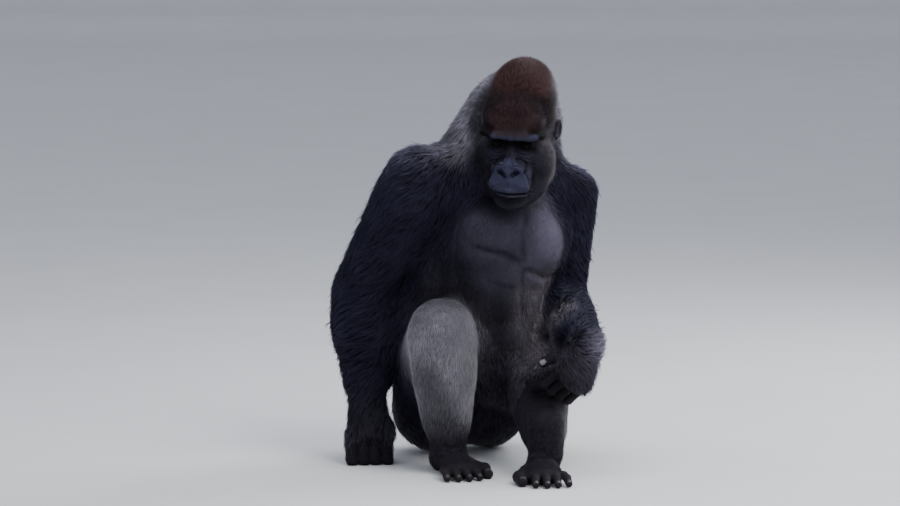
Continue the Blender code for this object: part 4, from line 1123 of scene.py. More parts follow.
    def right_hand(self) -> bpy.types.Object:
        """Model the hand that leans on its knuckles."""
        arm = self.pose.right_arm
        wrist = arm.at(2.0)
        out = xyz(-0.955, 0.3, 0.0).normalized()
        ahead = xyz(-0.3, -0.955, 0.0).normalized()
        knuckles = xyz(wrist.x, wrist.y, 0.0) + 0.012 * ahead + xyz(0.0, 0.0, 0.078)
        clay = Clay()
        palm = (
            (wrist + xyz(0.0, 0.0, 0.06), 0.044, 0.041),
            (wrist, 0.047, 0.042),
            (wrist.lerp(knuckles, 0.5), 0.052, 0.033),
            (knuckles, 0.056, 0.026),
        )
        clay.limb(palm, out)
        for i in range(4):
            first = knuckles + (i - 1.5) * self.finger_pitch * out
            second = xyz(first.x, first.y, 0.0) + 0.034 * ahead + xyz(0.0, 0.0, 0.0125)
            third = second - 0.034 * ahead + xyz(0.0, 0.0, -0.001)
            fourth = third - 0.02 * ahead + xyz(0.0, 0.0, 0.016)
            nail_back = xyz(0.0, 0.0, -1.0) - 0.6 * ahead
            points = (first, second, third, fourth)
            self.digit(clay, points, (0.0164, 0.016, 0.0138, 0.0108), nail_back, 0.007)
        base = wrist.lerp(knuckles, 0.45) - 0.04 * out + 0.006 * ahead
        middle = base - 0.016 * out + 0.016 * ahead + xyz(0.0, 0.0, -0.028)
        tip = middle - 0.002 * out + 0.014 * ahead + xyz(0.0, 0.0, -0.026)
        nail_back = (ahead - 0.6 * out).normalized()
        self.digit(clay, (base, middle, tip), (0.0152, 0.0132, 0.0102), nail_back, 0.0075)
        made = clay.fuse("right_hand", self.hand_cell, 3)
        self.level(made)
        return made

    def foot(self, leg: Limb, heel: Place, toe: Place, inner: float) -> bpy.types.Object:
        """Model one foot.

        Args:
            leg: The leg it ends.
            heel: Its heel on the floor.
            toe: Where its toes point.
            inner: 1 where the inner side is +X of the foot's frame, or -1.

        Returns:
            The foot.
        """
        frame = self.pose.foot_frame(heel, toe)
        local = frame.inverted() @ leg.at(2.0)
        clay = Clay(frame)
        clay.mass((0.0, -0.02, 0.032), (0.038, 0.043, 0.04))
        sole = (
            ((0.0, -0.03, 0.034), 0.038, 0.034),
            ((inner * 0.004, -0.11, 0.034), 0.044, 0.032),
            ((inner * 0.004, -0.168, 0.021), 0.05, 0.022),
        )
        clay.limb(sole, (1.0, 0.0, 0.0))
        ankle = (
            (local + xyz(0.0, 0.0, 0.06), 0.05, 0.05),
            (local + xyz(0.0, -0.002, -0.02), 0.047, 0.049),
            ((inner * 0.003, -0.075, 0.045), 0.041, 0.047),
        )
        clay.limb(ankle, steps=5)
        clay.mass((inner * 0.036, -0.1, 0.024), (0.025, 0.038, 0.023))
        clay.place = Matrix.Identity(4)
        up = xyz(0.0, 0.0, 1.0)
        ahead = frame.to_3x3() @ xyz(0.0, -1.0, 0.0)
        toes = ((0.038, 0.058), (0.0125, 0.062), (-0.0125, 0.058), (-0.037, 0.05))
        for i, (start, reach) in enumerate(toes):
            x, spread = inner * (start - 0.008), inner * (0.004 - 0.004 * i)
            points = [
                frame @ xyz(x, -0.16, 0.024),
                frame @ xyz(x + spread * 0.6, -0.168 - reach * 0.55, 0.021),
                frame @ xyz(x + spread, -0.168 - reach, 0.0095),
            ]
            self.digit(clay, points, (0.0118, 0.0116, 0.01), (up + 0.5 * ahead).normalized(), 0.006)
        big = ((inner * 0.046, -0.095, 0.02), (inner * 0.07, -0.15, 0.0175), (inner * 0.066, -0.196, 0.013))
        points = [frame @ Vector(p) for p in big]
        self.digit(clay, points, (0.021, 0.0182, 0.0145), (up + 0.2 * ahead).normalized(), 0.009)
        made = clay.fuse("foot", self.foot_cell, 3)
        self.level(made)
        return made

    def whole(self) -> bpy.types.Object:
        """Join everything into one skin, fine on the face and hands and coarser under the coat."""
        pose = self.pose
        skin = self.torso()
        hands = [self.left_hand(), self.right_hand()]
        feet = [self.foot(pose.right_leg, *RIGHT_FOOT), self.foot(pose.left_leg, *LEFT_FOOT)]
        for part in hands + feet:
            combine(skin, part, "UNION")
        combine(skin, self.head_clay(), "UNION")
        skin.name = skin.data.name = "skin"
        self.keep_largest(skin)
        self.ease(skin)
        self.lighten(skin)
        self.refine(skin)
        self.crease(skin)
        return skin

    def in_head(self, points: np.ndarray) -> np.ndarray:
        """Return points in the head's own frame."""
        back = np.array(self.pose.head_frame().inverted())
        return points @ back[:3, :3].T + back[:3, 3]

    def ease(self, skin: bpy.types.Object) -> None:
        """Smooth the surface where hands, feet and head join the rest."""
        pose = self.pose
        spots = (
            (pose.left_arm.at(1.9), 0.06),
            (pose.right_arm.at(1.88), 0.07),
            (pose.right_leg.at(1.85), 0.075),
            (pose.left_leg.at(1.88), 0.07),
        )
        points = places(skin.data)
        share = np.zeros(len(points))
        for spot, reach in spots:
            gap = np.linalg.norm(points - np.array(spot), axis=1)
            share = np.maximum(share, np.clip(1.6 * (1.0 - gap / reach), 0.0, 1.0))
        own = self.in_head(points)
        away = np.linalg.norm(own, axis=1)
        behind = np.clip((own[:, 1] - 0.02) / 0.04, 0.0, 1.0) * np.clip((0.3 - away) / 0.05, 0.0, 1.0)
        under = np.clip((-0.125 - own[:, 2]) / 0.02, 0.0, 1.0) * np.clip((0.26 - away) / 0.05, 0.0, 1.0)
        share = np.maximum(share, np.maximum(behind, under * (own[:, 1] > -0.12)))
        edges = table(skin.data.edges, "vertices", 2)
        edges = edges[(share[edges[:, 0]] > 0) | (share[edges[:, 1]] > 0)]
        ends = np.concatenate((edges[:, 0], edges[:, 1]))
        other = np.concatenate((edges[:, 1], edges[:, 0]))
        count = np.maximum(np.bincount(ends, minlength=len(points)), 1)
        for _ in range(self.ease_rounds):
            sums = [np.bincount(ends, points[other, k], minlength=len(points)) for k in range(3)]
            mean = np.stack([total / count for total in sums], 1)
            points += (0.6 * share)[:, None] * np.where(share[:, None] > 0, mean - points, 0.0)
        put_places(skin.data, points)

    def lighten(self, skin: bpy.types.Object) -> None:
        """Lower the skin's triangle count where the coat hides it, and keep the face as it is."""
        own = self.in_head(places(skin.data))
        x, y, z = np.abs(own[:, 0]), own[:, 1], own[:, 2]
        face = within(y, -0.2, -0.035) & within(z, -0.125, 0.062) & (x < 0.078)
        ear_x, ear_y, ear_z = EAR_PLACE
        ears = (np.abs(x - ear_x) < 0.02) & (np.abs(y - ear_y) < 0.026) & (np.abs(z - ear_z) < 0.034)
        group = skin.vertex_groups.new(name="coarse")
        breast = self.on_breast(skin.data) > 0.3
        group.add(np.flatnonzero(~(face | ears | breast)).tolist(), 1.0, "REPLACE")
        skin.data.calc_loop_triangles()
        have = len(skin.data.loop_triangles)
        LOG.info("skin has %d triangles before it is lightened", have)
        thin = skin.modifiers.new("thin", "DECIMATE")
        thin.ratio = min(1.0, self.wanted / have)
        thin.vertex_group = "coarse"
        thin.vertex_group_factor = 8.0
        settle(skin)
        skin.vertex_groups.clear()

    def on_breast(self, mesh: bpy.types.Mesh) -> np.ndarray:
        """Return how much each vertex belongs to the open front of the breast and belly, 0 to 1."""
        points = places(mesh)
        share = self.coat.shares(points)
        front = share[:, self.coat.area == list(Area).index(Area.FRONT)].sum(axis=1)
        facing = normals(mesh) @ np.array(Studio().axes()[2])
        open_hair = np.clip((front - 0.45) * 4.0, 0.0, 1.0)
        return open_hair * np.clip((facing - 0.05) * 5.0, 0.0, 1.0) * (points[:, 2] > 0.3)

    def refine(self, skin: bpy.types.Object) -> None:
        """Divide the faces of the bare face and the breast in four."""
        bm = bmesh.new()
        bm.from_mesh(skin.data)
        points, axes = places(skin.data), Studio().axes()
        own = self.in_head(points)
        inside = within(own[:, 1], -0.185, -0.084) & within(own[:, 2], -0.124, 0.044)
        inside &= np.abs(own[:, 0]) < 0.062
        across, high = points @ np.array(axes[0]), points @ np.array(axes[1])
        pressed = sum(np.abs(fold.push(across, high)) for fold in BREAST_FOLDS if isinstance(fold, Fold))
        inside |= (self.on_breast(skin.data) > 0.3) & (pressed > 0.0004)
        bm.edges.ensure_lookup_table()
        chosen = [e for e in bm.edges if inside[e.verts[0].index] and inside[e.verts[1].index]]
        bmesh.ops.subdivide_edges(bm, edges=chosen, cuts=1, use_grid_fill=True, smooth=0.0)
        bmesh.ops.triangulate(bm, faces=[f for f in bm.faces if len(f.verts) > 4])
        bm.to_mesh(skin.data)
        bm.free()
        skin.data.update()

    def crease(self, skin: bpy.types.Object) -> None:
        """Press the folds of lids, cheeks, nose and lips into the face, and those of the breast and belly,
        and keep each groove's depth as painted shade for the skin's colour.
        """
        mesh = skin.data
        points = places(mesh)
        facing = normals(mesh)
        own = self.in_head(points)
        near = within(own[:, 1], -0.19, -0.06) & (np.abs(own[:, 0]) < 0.085) & (np.abs(own[:, 2]) < 0.14)
        index = np.flatnonzero(near)
        total = np.zeros(len(index))
        for fold in FACE_FOLDS:
            total += fold.push(own[index, 0], own[index, 2])
        inner = np.hypot(np.abs(own[index, 0]) - EYE_PLACE[0], (own[index, 2] - EYE_PLACE[2]) * 2.2)
        total *= np.clip((inner - 0.01) / 0.006, 0.0, 1.0)
        points[index] += facing[index] * total[:, None]
        self.crease_shade = np.zeros(len(points))
        # painted shade: the deeper a face groove, the darker its skin is painted
        dark = np.clip(-total / 0.0035, 0.0, 1.0)
        face = index
        # the breast's folds lie on a plane that faces the same way as the breast
        weight = self.on_breast(mesh)
        right, up, _ = Studio().axes()
        index = np.flatnonzero(weight > 0.0)
        across, high = points[index] @ np.array(right), points[index] @ np.array(up)
        total = sum(fold.push(across, high) for fold in BREAST_FOLDS)
        points[index] += facing[index] * (total * weight[index])[:, None]
        # painted shade in the grooves and undercuts of the breast and belly
        self.crease_shade[index] = np.clip(-total / 0.006, 0.0, 1.0) * weight[index]
        self.crease_shade[face] = dark
        put_places(mesh, points)


FACE_FOLDS: tuple[Fold, ...] = (
    Fold(((11, 3), (24, -6), (40, -10), (58, -4)), 2, 1.6),
    Fold(((13, -7), (27, -18), (45, -24), (65, -20)), 2.4, 1.8),
    Fold(((19, -17), (33, -30), (50, -39), (66, -42)), 2.6, 1.6),
    Fold(((34, -34), (46, -52), (56, -76), (59, -98)), 3.2, 3),
    Fold(((21, 22), (30, 26), (40, 27), (55, 22.5)), 1.5, 1.2),
    Fold(((22, 6.5), (36, 2), (54, 6)), 1.4, 1.1),
    Fold(
        ((-56, -113), (-45, -106), (-24, -101.5), (24, -103), (45, -110), (57, -119)),
        2.4, 5, 0.25, mirror=False,
    ),
    Fold(((3, -6), (11, -16), (22, -18)), 1.7, 1.8),
    Fold(((4, -13), (13, -21.5), (26, -21.5), (38, -29), (43.5, -45), (38, -62)), 2.2, 2.4),
    Fold(((0, 12), (0, -12)), 2, 1.2, mirror=False),
    Fold(((6, 30), (10, 41), (11, 54)), 2.4, 1.1),
    Fold(((0, -66), (0, -88)), 2.6, 1, mirror=False),
    Fold(((16, -73), (34, -83), (48, -89)), 1.8, 0.9),
    Fold(((6, -118), (26, -116.5), (44, -110)), 3, 1.8),
)

@dataclass(frozen=True)
class Swell:
    """A muscle that stands out of the breast or belly, soft above and undercut below. In millimetres."""

    centre: tuple[float, float]
    radii: tuple[float, float]
    height: float
    tilt: float = 0.0

    def push(self, across: np.ndarray, up: np.ndarray) -> np.ndarray:
        """Return how far the muscle lifts each place."""
        cos, sin = math.cos(math.radians(self.tilt)), math.sin(math.radians(self.tilt))
        (middle_x, middle_y), (wide, high) = mm(*self.centre), mm(*self.radii)
        x, y = across - middle_x, up - middle_y
        x, y = (x * cos + y * sin) / wide, (y * cos - x * sin) / high
        inside = np.clip(1.0 - x * x - y * y, 0.0, 1.0)
        below = np.clip(-y / np.maximum(np.hypot(x, y), 1e-6), 0.0, 1.0)
        return mm(self.height)[0] * inside ** (2.0 - 1.4 * below**2)


BREAST_FOLDS: tuple[Fold | Swell, ...] = (
    Swell((224, 578), (64, 96), 19, 6),
    Swell((95, 615), (105, 68), 11, -14),
    Swell((120, 485), (58, 40), 8, -8),
    Swell((196, 474), (36, 33), 10),
    Swell((124, 410), (52, 46), 5.5),
    Swell((199, 400), (36, 56), 8),
    Fold(((178, 660), (174, 612), (170, 560), (174, 514)), 11.5, 5.4, 0.2, mirror=False),
    Fold(((172, 512), (165, 470), (164, 420), (166, 340)), 10, 5.5, 0.2, mirror=False),
    Fold(((30, 562), (90, 550), (135, 533), (170, 514)), 11, 4.2, 0.1, mirror=False),
    Fold(((174, 506), (190, 492), (214, 484), (240, 490), (262, 508)), 9, 8, 0.2, mirror=False),
    Fold(((80, 466), (115, 456), (150, 452)), 8, 3, 0.2, mirror=False),
)


class Net:
    """The distance to the skin, kept on a net of cells, so that hair can be led along the surface."""

    def __init__(
        self, points: np.ndarray, faces: np.ndarray, cell: float = 0.0045, band: float = 15.0
    ) -> None:
        """Measure the distance to a closed surface.

        Args:
            points: Its vertices.
            faces: Its triangles.
            cell: The size of a cell.
            band: How far out distances are kept, in cells.
        """
        self.cell = cell
        grid = openvdb.FloatGrid.createLevelSetFromPolygons(
            points.astype(np.float32),
            triangles=faces.astype(np.uint32),
            transform=openvdb.createLinearTransform(voxelSize=cell),
            halfWidth=band,
        )
        low, high = grid.evalActiveVoxelBoundingBox()
        self.low = np.array(low, float)
        self.values = np.zeros([high[i] - low[i] + 1 for i in range(3)], np.float32)
        grid.copyToArray(self.values, ijk=low)
        self.slopes = np.stack(np.gradient(self.values, cell), axis=-1).astype(np.float32)

    def read(self, values: np.ndarray, points: np.ndarray) -> np.ndarray:
        """Return the values kept on the net at points, blended between cells."""
        at = points / self.cell - self.low
        at = np.clip(at, 0.0, np.array(self.values.shape) - 1.001)
        base = at.astype(np.int32)
        part = (at - base)[:, :, None] if values.ndim == 4 else at - base
        total = 0.0
        for i, j, k in itertools.product((0, 1), repeat=3):
            x, y, z = (part[:, n] if far else 1.0 - part[:, n] for n, far in enumerate((i, j, k)))
            total = total + x * y * z * values[base[:, 0] + i, base[:, 1] + j, base[:, 2] + k]
        return total

    def distance(self, points: np.ndarray) -> np.ndarray:
        """Return the distance to the skin, below zero inside."""
        return self.read(self.values, points)

    def outward(self, points: np.ndarray) -> np.ndarray:
        """Return the way straight out of the skin."""
        return unit(self.read(self.slopes, points), 1e-9)


class Drift:
    """A smooth, seeded wander in three directions, made of waves."""

    def __init__(self, seed: int, size: float, waves: int = 12) -> None:
        """Choose the waves.

        Args:
            seed: The seed.
            size: The usual distance between one lock and the next.
            waves: How many waves.
        """
        rng = np.random.default_rng(seed)
        way = rng.normal(size=(waves, 3))
        way /= np.linalg.norm(way, axis=1, keepdims=True)
        self.way = way * (2.0 * math.pi / (size * rng.uniform(0.7, 1.8, (waves, 1))))
        self.phase = rng.uniform(0.0, 2.0 * math.pi, waves)
        self.push = rng.normal(size=(waves, 3)) / math.sqrt(waves)

    def at(self, points: np.ndarray) -> np.ndarray:
        """Return the wander at points, three values each."""
        return np.sin(points @ self.way.T + self.phase) @ self.push


@dataclass
class Coat:
    """Grows closed locks of hair from the skin, led along it by the map of the hair.

    Attributes:
        coat: The map of the hair.
        seed: The seed of every random draw.
        patch: How much of the unwrap one lock takes.
        sink: How far a root lies below the skin.
        sparsest: The thinnest growth that is still coat, in locks on a square centimetre.
        lengths: The shortest and longest lock, over the patch's length.
        lifts: The same for how far a lock stands off.
        widths: The same for its width.
        stray_share: The share of locks that stand off more.
        stray_lift: How much more they do.
        broad_sway: The distance between broad waves in the lie.
        fine_sway: The distance between fine ones.
        sway: How far the waves turn a lock.
        unruly: How far each lock turns on its own.
        reach: The most that one step is moved toward or off the skin.
        clearance: The lowest that a tip comes to the floor.
    """

    coat: CoatMap
    seed: int = 7
    patch: float = 0.003
    sink: float = 0.0016
    sparsest: float = 0.35
    lengths: tuple[float, float] = (0.72, 1.22)
    lifts: tuple[float, float] = (0.55, 1.45)
    widths: tuple[float, float] = (0.65, 1.35)
    stray_share: float = 0.035
    stray_lift: float = 1.9
    broad_sway: float = 0.075
    fine_sway: float = 0.016
    sway: float = 0.17
    unruly: float = 0.09
    reach: float = 0.02
    clearance: float = 0.0012

    def roots(self, mesh: bpy.types.Mesh) -> Fields:
        """Scatter the roots over the skin.

        Args:
            mesh: The skin.

        Returns:
            Their places, outward ways, map places and look.
        """
        rng = np.random.default_rng(self.seed)
        points, faces = places(mesh), triangles_of(mesh)
        uv = table(mesh.uv_layers["OFBake"].uv, "vector", 2, np.float32)[table(mesh.loop_triangles, "loops")]
        a, b, c = points[faces[:, 0]], points[faces[:, 1]], points[faces[:, 2]]
        cross = np.cross(b - a, c - a)
        area = np.linalg.norm(cross, axis=1) / 2.0
        middle = (a + b + c) / 3.0
        dense = self.coat.shares(middle) @ self.coat.sizes[:, DENSITY]
        dense = np.where(dense < self.sparsest, 0.0, dense)
        dense = dense * np.clip((middle[:, 2] - 0.004) / 0.006, 0.0, 1.0)
        want = area * 1e4 * dense
        total = np.cumsum(want)
        count = int(total[-1])
        ticks = (np.arange(count) + rng.uniform(0.0, 1.0, count)) * (total[-1] / count)
        chosen = np.searchsorted(total, ticks).clip(0, len(want) - 1)
        u, v = rng.uniform(size=count), rng.uniform(size=count)
        over = u + v > 1.0
        u[over], v[over] = 1.0 - u[over], 1.0 - v[over]
        w = 1.0 - u - v
        place = a[chosen] * w[:, None] + b[chosen] * u[:, None] + c[chosen] * v[:, None]
        mapped = uv[chosen, 0] * w[:, None] + uv[chosen, 1] * u[:, None] + uv[chosen, 2] * v[:, None]
        out = cross[chosen] / np.maximum(2.0 * area[chosen], 1e-12)[:, None]
        share = self.coat.shares(place)
        return {
            "place": place,
            "out": out,
            "uv": mapped,
            "lie": share @ self.coat.lie,
            "size": share @ self.coat.sizes,
            "colour": share @ self.coat.colours,
            "area": self.coat.area[share.argmax(axis=1)],
        }

    def grow(self, roots: Fields, net: Net, rings: int) -> Fields:
        """Lead every lock along the skin from its root to its tip.

        Args:
            roots: The roots.
            net: Distances to the skin.
            rings: Points along each lock, with its tip.

        Returns:
            The points, the ways across and out at each, and each lock's width.
        """
        rng = np.random.default_rng(self.seed + rings)
        count = len(roots["place"])
        size = roots["size"]
        length = size[:, LENGTH] * rng.uniform(*self.lengths, count)
        lift = np.radians(size[:, LIFT]) * rng.uniform(*self.lifts, count)
        stray = rng.uniform(size=count) < self.stray_share
        lift = np.where(stray, lift * self.stray_lift, lift)
        wide, fine = Drift(self.seed + 1, self.broad_sway), Drift(self.seed + 2, self.fine_sway)
        own = rng.normal(size=(count, 3)) * self.unruly
        place = roots["place"] - roots["out"] * self.sink
        start = -self.sink
        line, across, outward = [place], [], []
        at = place
        scale = np.clip(size[:, LENGTH] / 0.045, 0.35, 1.0)[:, None]
        for ring in range(rings):
            probe = at + roots["out"] * (self.sink + 0.001) if ring == 0 else at
            out = roots["out"] if ring == 0 else net.outward(probe)
            way = roots["lie"] + (self.sway * wide.at(at) + self.sway * fine.at(at) * scale) + own
            way -= np.einsum("ij,ij->i", way, out)[:, None] * out
            way = unit(way)
            across.append(np.cross(way, out))
            outward.append(out)
            if ring == rings - 1:
                break
            part = (ring + 1.0) / (rings - 1.0)
            step = length / (rings - 1.0)
            ahead = at + way * (step * np.cos(lift))[:, None]
            goal = length * np.sin(lift) * part * (1.0 - 0.3 * part) + start * (1.0 - part)
            now = net.distance(ahead)
            toward = net.outward(ahead)
            ahead = ahead + toward * np.clip(goal - now, -self.reach, self.reach)[:, None]
            ahead[:, 2] = np.maximum(ahead[:, 2], self.clearance)
            line.append(ahead)
            at = ahead
        return {
            "line": np.stack(line, 1),
            "across": np.stack(across, 1),
            "out": np.stack(outward, 1),
            "width": size[:, WIDTH] * rng.uniform(*self.widths, count),
        }

    def mesh(
        self, name: str, roots: Fields, grown: Fields, chosen: np.ndarray, shift: np.ndarray
    ) -> bpy.types.Object:
        """Build one piece of the coat as closed three-sided locks.

        Args:
            name: Its name.
            roots: All roots.
            grown: Their locks.
            chosen: The numbers of the locks that are in it.
            shift: The move onto the frame.

        Returns:
            The piece.
        """
        rng = np.random.default_rng(self.seed + len(name))
        line, across, out = grown["line"][chosen], grown["across"][chosen], grown["out"][chosen]
        count, rings = line.shape[:2]
        width = grown["width"][chosen]
        full = rings - 1
        part = np.arange(rings) / full
        taper = np.interp(part, (0.0, 0.35, 0.7, 1.0), (0.75, 1.0, 0.66, 0.0))
        half = 0.5 * width[:, None] * taper[None, :]
        left = line - across * half[:, :, None] - out * (0.15 * half)[:, :, None]
        right = line + across * half[:, :, None] - out * (0.15 * half)[:, :, None]
        ridge = line + out * (0.75 * half)[:, :, None]
        body = np.stack((left, ridge, right), 2)[:, :full].reshape(count, full * 3, 3)
        points = np.concatenate((body, line[:, -1:]), axis=1).reshape(-1, 3) + shift
        per = full * 3 + 1
        faces: list[tuple[int, int, int]] = [(0, 1, 2)]
        for ring in range(full - 1):
            for k in range(3):
                a, b = ring * 3 + k, ring * 3 + (k + 1) % 3
                faces += [(a, a + 3, b), (b, a + 3, b + 3)]
        last = (full - 1) * 3
        faces += [(last + k, per - 1, last + (k + 1) % 3) for k in range(3)]
        pattern = np.array(faces, np.int32)
        every = (pattern[None] + (np.arange(count, dtype=np.int32) * per)[:, None, None]).reshape(-1, 3)
        made = bpy.data.meshes.new(name)
        made.vertices.add(len(points))
        made.vertices.foreach_set("co", points.astype(np.float32).ravel())
        made.loops.add(every.size)
        made.loops.foreach_set("vertex_index", every.ravel())
        made.polygons.add(len(every))
        made.polygons.foreach_set("loop_start", np.arange(len(every), dtype=np.int32) * 3)
        made.polygons.foreach_set("loop_total", np.full(len(every), 3, np.int32))
        made.polygons.foreach_set("use_smooth", np.ones(len(every), bool))
        made.update(calc_edges=True)
        # colours run from root to tip, and each lock differs a little from the next
        colour = roots["colour"][chosen]
        streak = Drift(self.seed + 5, 0.012).at(roots["place"][chosen])[:, 0]
        broad = Drift(self.seed + 6, 0.06).at(roots["place"][chosen])[:, 0]
        shade = np.exp(colour[:, 9] * (0.75 * rng.normal(size=count) + 0.55 * streak + 0.45 * broad))
        along = np.concatenate((np.repeat(part[:full], 3), [1.0]))
        root, tip = colour[:, None, 0:3], colour[:, None, 3:6]
        mixed = root + (tip - root) * (along[None, :, None] ** 0.8)
        mixed = np.clip(mixed * shade[:, None, None], 0.0, 1.0).reshape(-1, 3)
        paint(made, mixed)
        # each lock's own small patch of the OFBake unwrap, at its root's place on the skin's unwrap
        side = np.concatenate((np.tile((0.0, 0.5, 1.0), full), [0.5]))
        spot = roots["uv"][chosen][:, None, :] + self.patch * (np.stack((side, along), 1)[None] - 0.5)
        layer = made.uv_layers.new(name="OFBake")
        layer.uv.foreach_set("vector", spot.reshape(-1, 2)[every.ravel()].astype(np.float32).ravel())
        return link(name, made)


# ---------------------------------------------------------------- eyes and nails


@dataclass(frozen=True)
class Eyes:
    """Two eyeballs, each turned about its own line of sight, with a slight bulge over the iris."""

    radius: float = EYE_RADIUS
    iris: float = 0.0066
    pupil: float = 0.0026
    around: int = 56

    def build(self, name: str, centre: Vector, gaze: Vector, shift: np.ndarray) -> bpy.types.Object:
        """Build one eye.

        Args:
            name: Its name.
            centre: Its middle.
            gaze: Its line of sight.
            shift: The move onto the frame.

        Returns:
            The eye.
        """
        gaze = gaze.normalized()
        x = gaze.orthogonal().normalized()
        y = gaze.cross(x)
        stops = np.concatenate((np.linspace(0.0, 0.97, 9)[1:] * self.pupil, [self.pupil * 1.04]))
        iris = np.linspace(self.pupil * 1.1, self.iris, 14)
        edge = np.linspace(self.iris * 1.03, self.radius * 0.999, 16)
        radial = np.concatenate((stops, iris, edge))
        depth = np.sqrt(np.maximum(self.radius**2 - radial**2, 0.0))
        depth = depth + 0.0011 * np.clip(1.0 - (radial / (self.iris * 1.15)) ** 2, 0.0, 1.0)
        back = np.linspace(0.05, 0.98, 14) * math.pi / 2.0
        radial = np.concatenate((radial, self.radius * np.cos(back)))
        depth = np.concatenate((depth, -self.radius * np.sin(back)))
        bm = bmesh.new()
        colour = bm.verts.layers.float_color.new("hair")
        top = bm.verts.new(centre + gaze * (self.radius + 0.0011))
        top[colour] = (*linear(6, 5, 6), 1.0)
        rows = []
        white, brown, rim = linear(16, 11, 10), linear(34, 20, 12), linear(9, 6, 6)
        for k, (r, d) in enumerate(zip(radial, depth)):
            row = []
            for i in range(self.around):
                angle = 2.0 * math.pi * i / self.around
                vert = bm.verts.new(centre + x * (r * math.cos(angle)) + y * (r * math.sin(angle)) + gaze * d)
                ray = 0.82 + 0.18 * math.sin(i * 5.7 + 1.3 * math.sin(i * 2.1))
                if r <= self.pupil * 1.05 and d > 0:
                    shade = linear(6, 5, 6)
                elif r <= self.iris * 1.01 and d > 0:
                    t = (r - self.pupil) / (self.iris - self.pupil)
                    shade = brown * ray * (1.0 - 0.55 * t**3)
                elif r <= self.iris * 1.16 and d > 0:
                    shade = rim
                else:
                    shade = white * (0.8 + 0.2 * ray)
                vert[colour] = (*shade, 1.0)
                row.append(vert)
            rows.append(row)
        bottom = bm.verts.new(centre - gaze * self.radius)
        bottom[colour] = (*white, 1.0)
        for i in range(self.around):
            j = (i + 1) % self.around
            bm.faces.new((top, rows[0][i], rows[0][j]))
            for first, second in zip(rows[:-1], rows[1:]):
                bm.faces.new((first[i], second[i], second[j], first[j]))
            bm.faces.new((rows[-1][i], bottom, rows[-1][j]))
        bmesh.ops.translate(bm, verts=bm.verts, vec=Vector(shift))
        bmesh.ops.recalc_face_normals(bm, faces=bm.faces)
        return settled(name, bm, smooth=True)


@dataclass(frozen=True)
class Nail:
    """A flat, slightly rolled nail with a free edge."""

    across: int = 8
    along: int = 8
    thick: float = 0.0011
    stretch: float = 1.0

    def add(self, bm: bmesh.types.BMesh, place: Vector, ahead: Vector, back: Vector, half: float) -> None:
        """Add one nail.

        Args:
            bm: The mesh it is added to.
            place: The middle of its bed.
            ahead: The way the digit points.
            back: The way its back faces.
            half: Its half width.
        """
        side = ahead.cross(back)
        sheets = []
        for level in (0.0, 1.0):
            grid = []
            for j in range(self.along + 1):
                t = j / self.along
                row = []
                for i in range(self.across + 1):
                    s = 2.0 * i / self.across - 1.0
                    trim = math.sqrt(max(0.0, 1.0 - max(0.0, (0.3 - t) / 0.3) ** 2 * 0.75))
                    trim *= 1.0 - 0.4 * (max(0.0, t - 0.7) / 0.3) ** 2
                    x = s * half * trim
                    y = (t - 0.55) * 2.0 * half * self.stretch
                    rise = level * self.thick * (1.0 - 0.5 * abs(s) ** 3)
                    z = -0.42 * half * s * s - 0.14 * half * (t - 0.4) ** 2 * 2.0 + rise
                    row.append(bm.verts.new(place + side * x + ahead * y + back * z))
                grid.append(row)
            sheets.append(grid)
        under, over = sheets
        for j in range(self.along):
            for i in range(self.across):
                bm.faces.new((over[j][i], over[j][i + 1], over[j + 1][i + 1], over[j + 1][i]))
                bm.faces.new((under[j][i], under[j + 1][i], under[j + 1][i + 1], under[j][i + 1]))
        rim = [(j, 0) for j in range(self.along, 0, -1)] + [(0, i) for i in range(self.across)]
        rim += [(j, self.across) for j in range(self.along)]
        rim += [(self.along, i) for i in range(self.across, 0, -1)]
        for (j, i), (m, n) in zip(rim, rim[1:] + rim[:1]):
            bm.faces.new((over[j][i], under[j][i], under[m][n], over[m][n]))

    def build(self, name: str, beds: Sequence[Bed], shift: np.ndarray) -> bpy.types.Object:
        """Build a set of nails as one piece."""
        bm = bmesh.new()
        for bed in beds:
            self.add(bm, *bed)
        bmesh.ops.translate(bm, verts=bm.verts, vec=Vector(shift))
        bmesh.ops.recalc_face_normals(bm, faces=bm.faces)
        return settled(name, bm, smooth=True)


# ---------------------------------------------------------------- finishes


class Wire:
    """A shader socket that can be reckoned with like a number."""

    def __init__(self, shader: "Shader", socket: bpy.types.NodeSocket) -> None:
        """Wrap an output socket."""
        self.shader = shader
        self.socket = socket

    def __add__(self, other: "Wire | float") -> "Wire":
        """Add."""
        return self.shader.maths("ADD", self, other)

    def __sub__(self, other: "Wire | float") -> "Wire":
        """Take away."""
        return self.shader.maths("SUBTRACT", self, other)

    def __rsub__(self, other: float) -> "Wire":
        """Take away from a number."""
        return self.shader.maths("SUBTRACT", other, self)

    def __mul__(self, other: "Wire | float") -> "Wire":
        """Multiply."""
        return self.shader.maths("MULTIPLY", self, other)

    __radd__ = __add__
    __rmul__ = __mul__

    def ramp(self, low: float, high: float) -> "Wire":
        """Return 0 below low, 1 above high and a smooth rise between."""
        bounds = {"Value": self, "From Min": low, "From Max": high}
        return self.shader.node("ShaderNodeMapRange", {"interpolation_type": "SMOOTHSTEP"}, bounds, "Result")


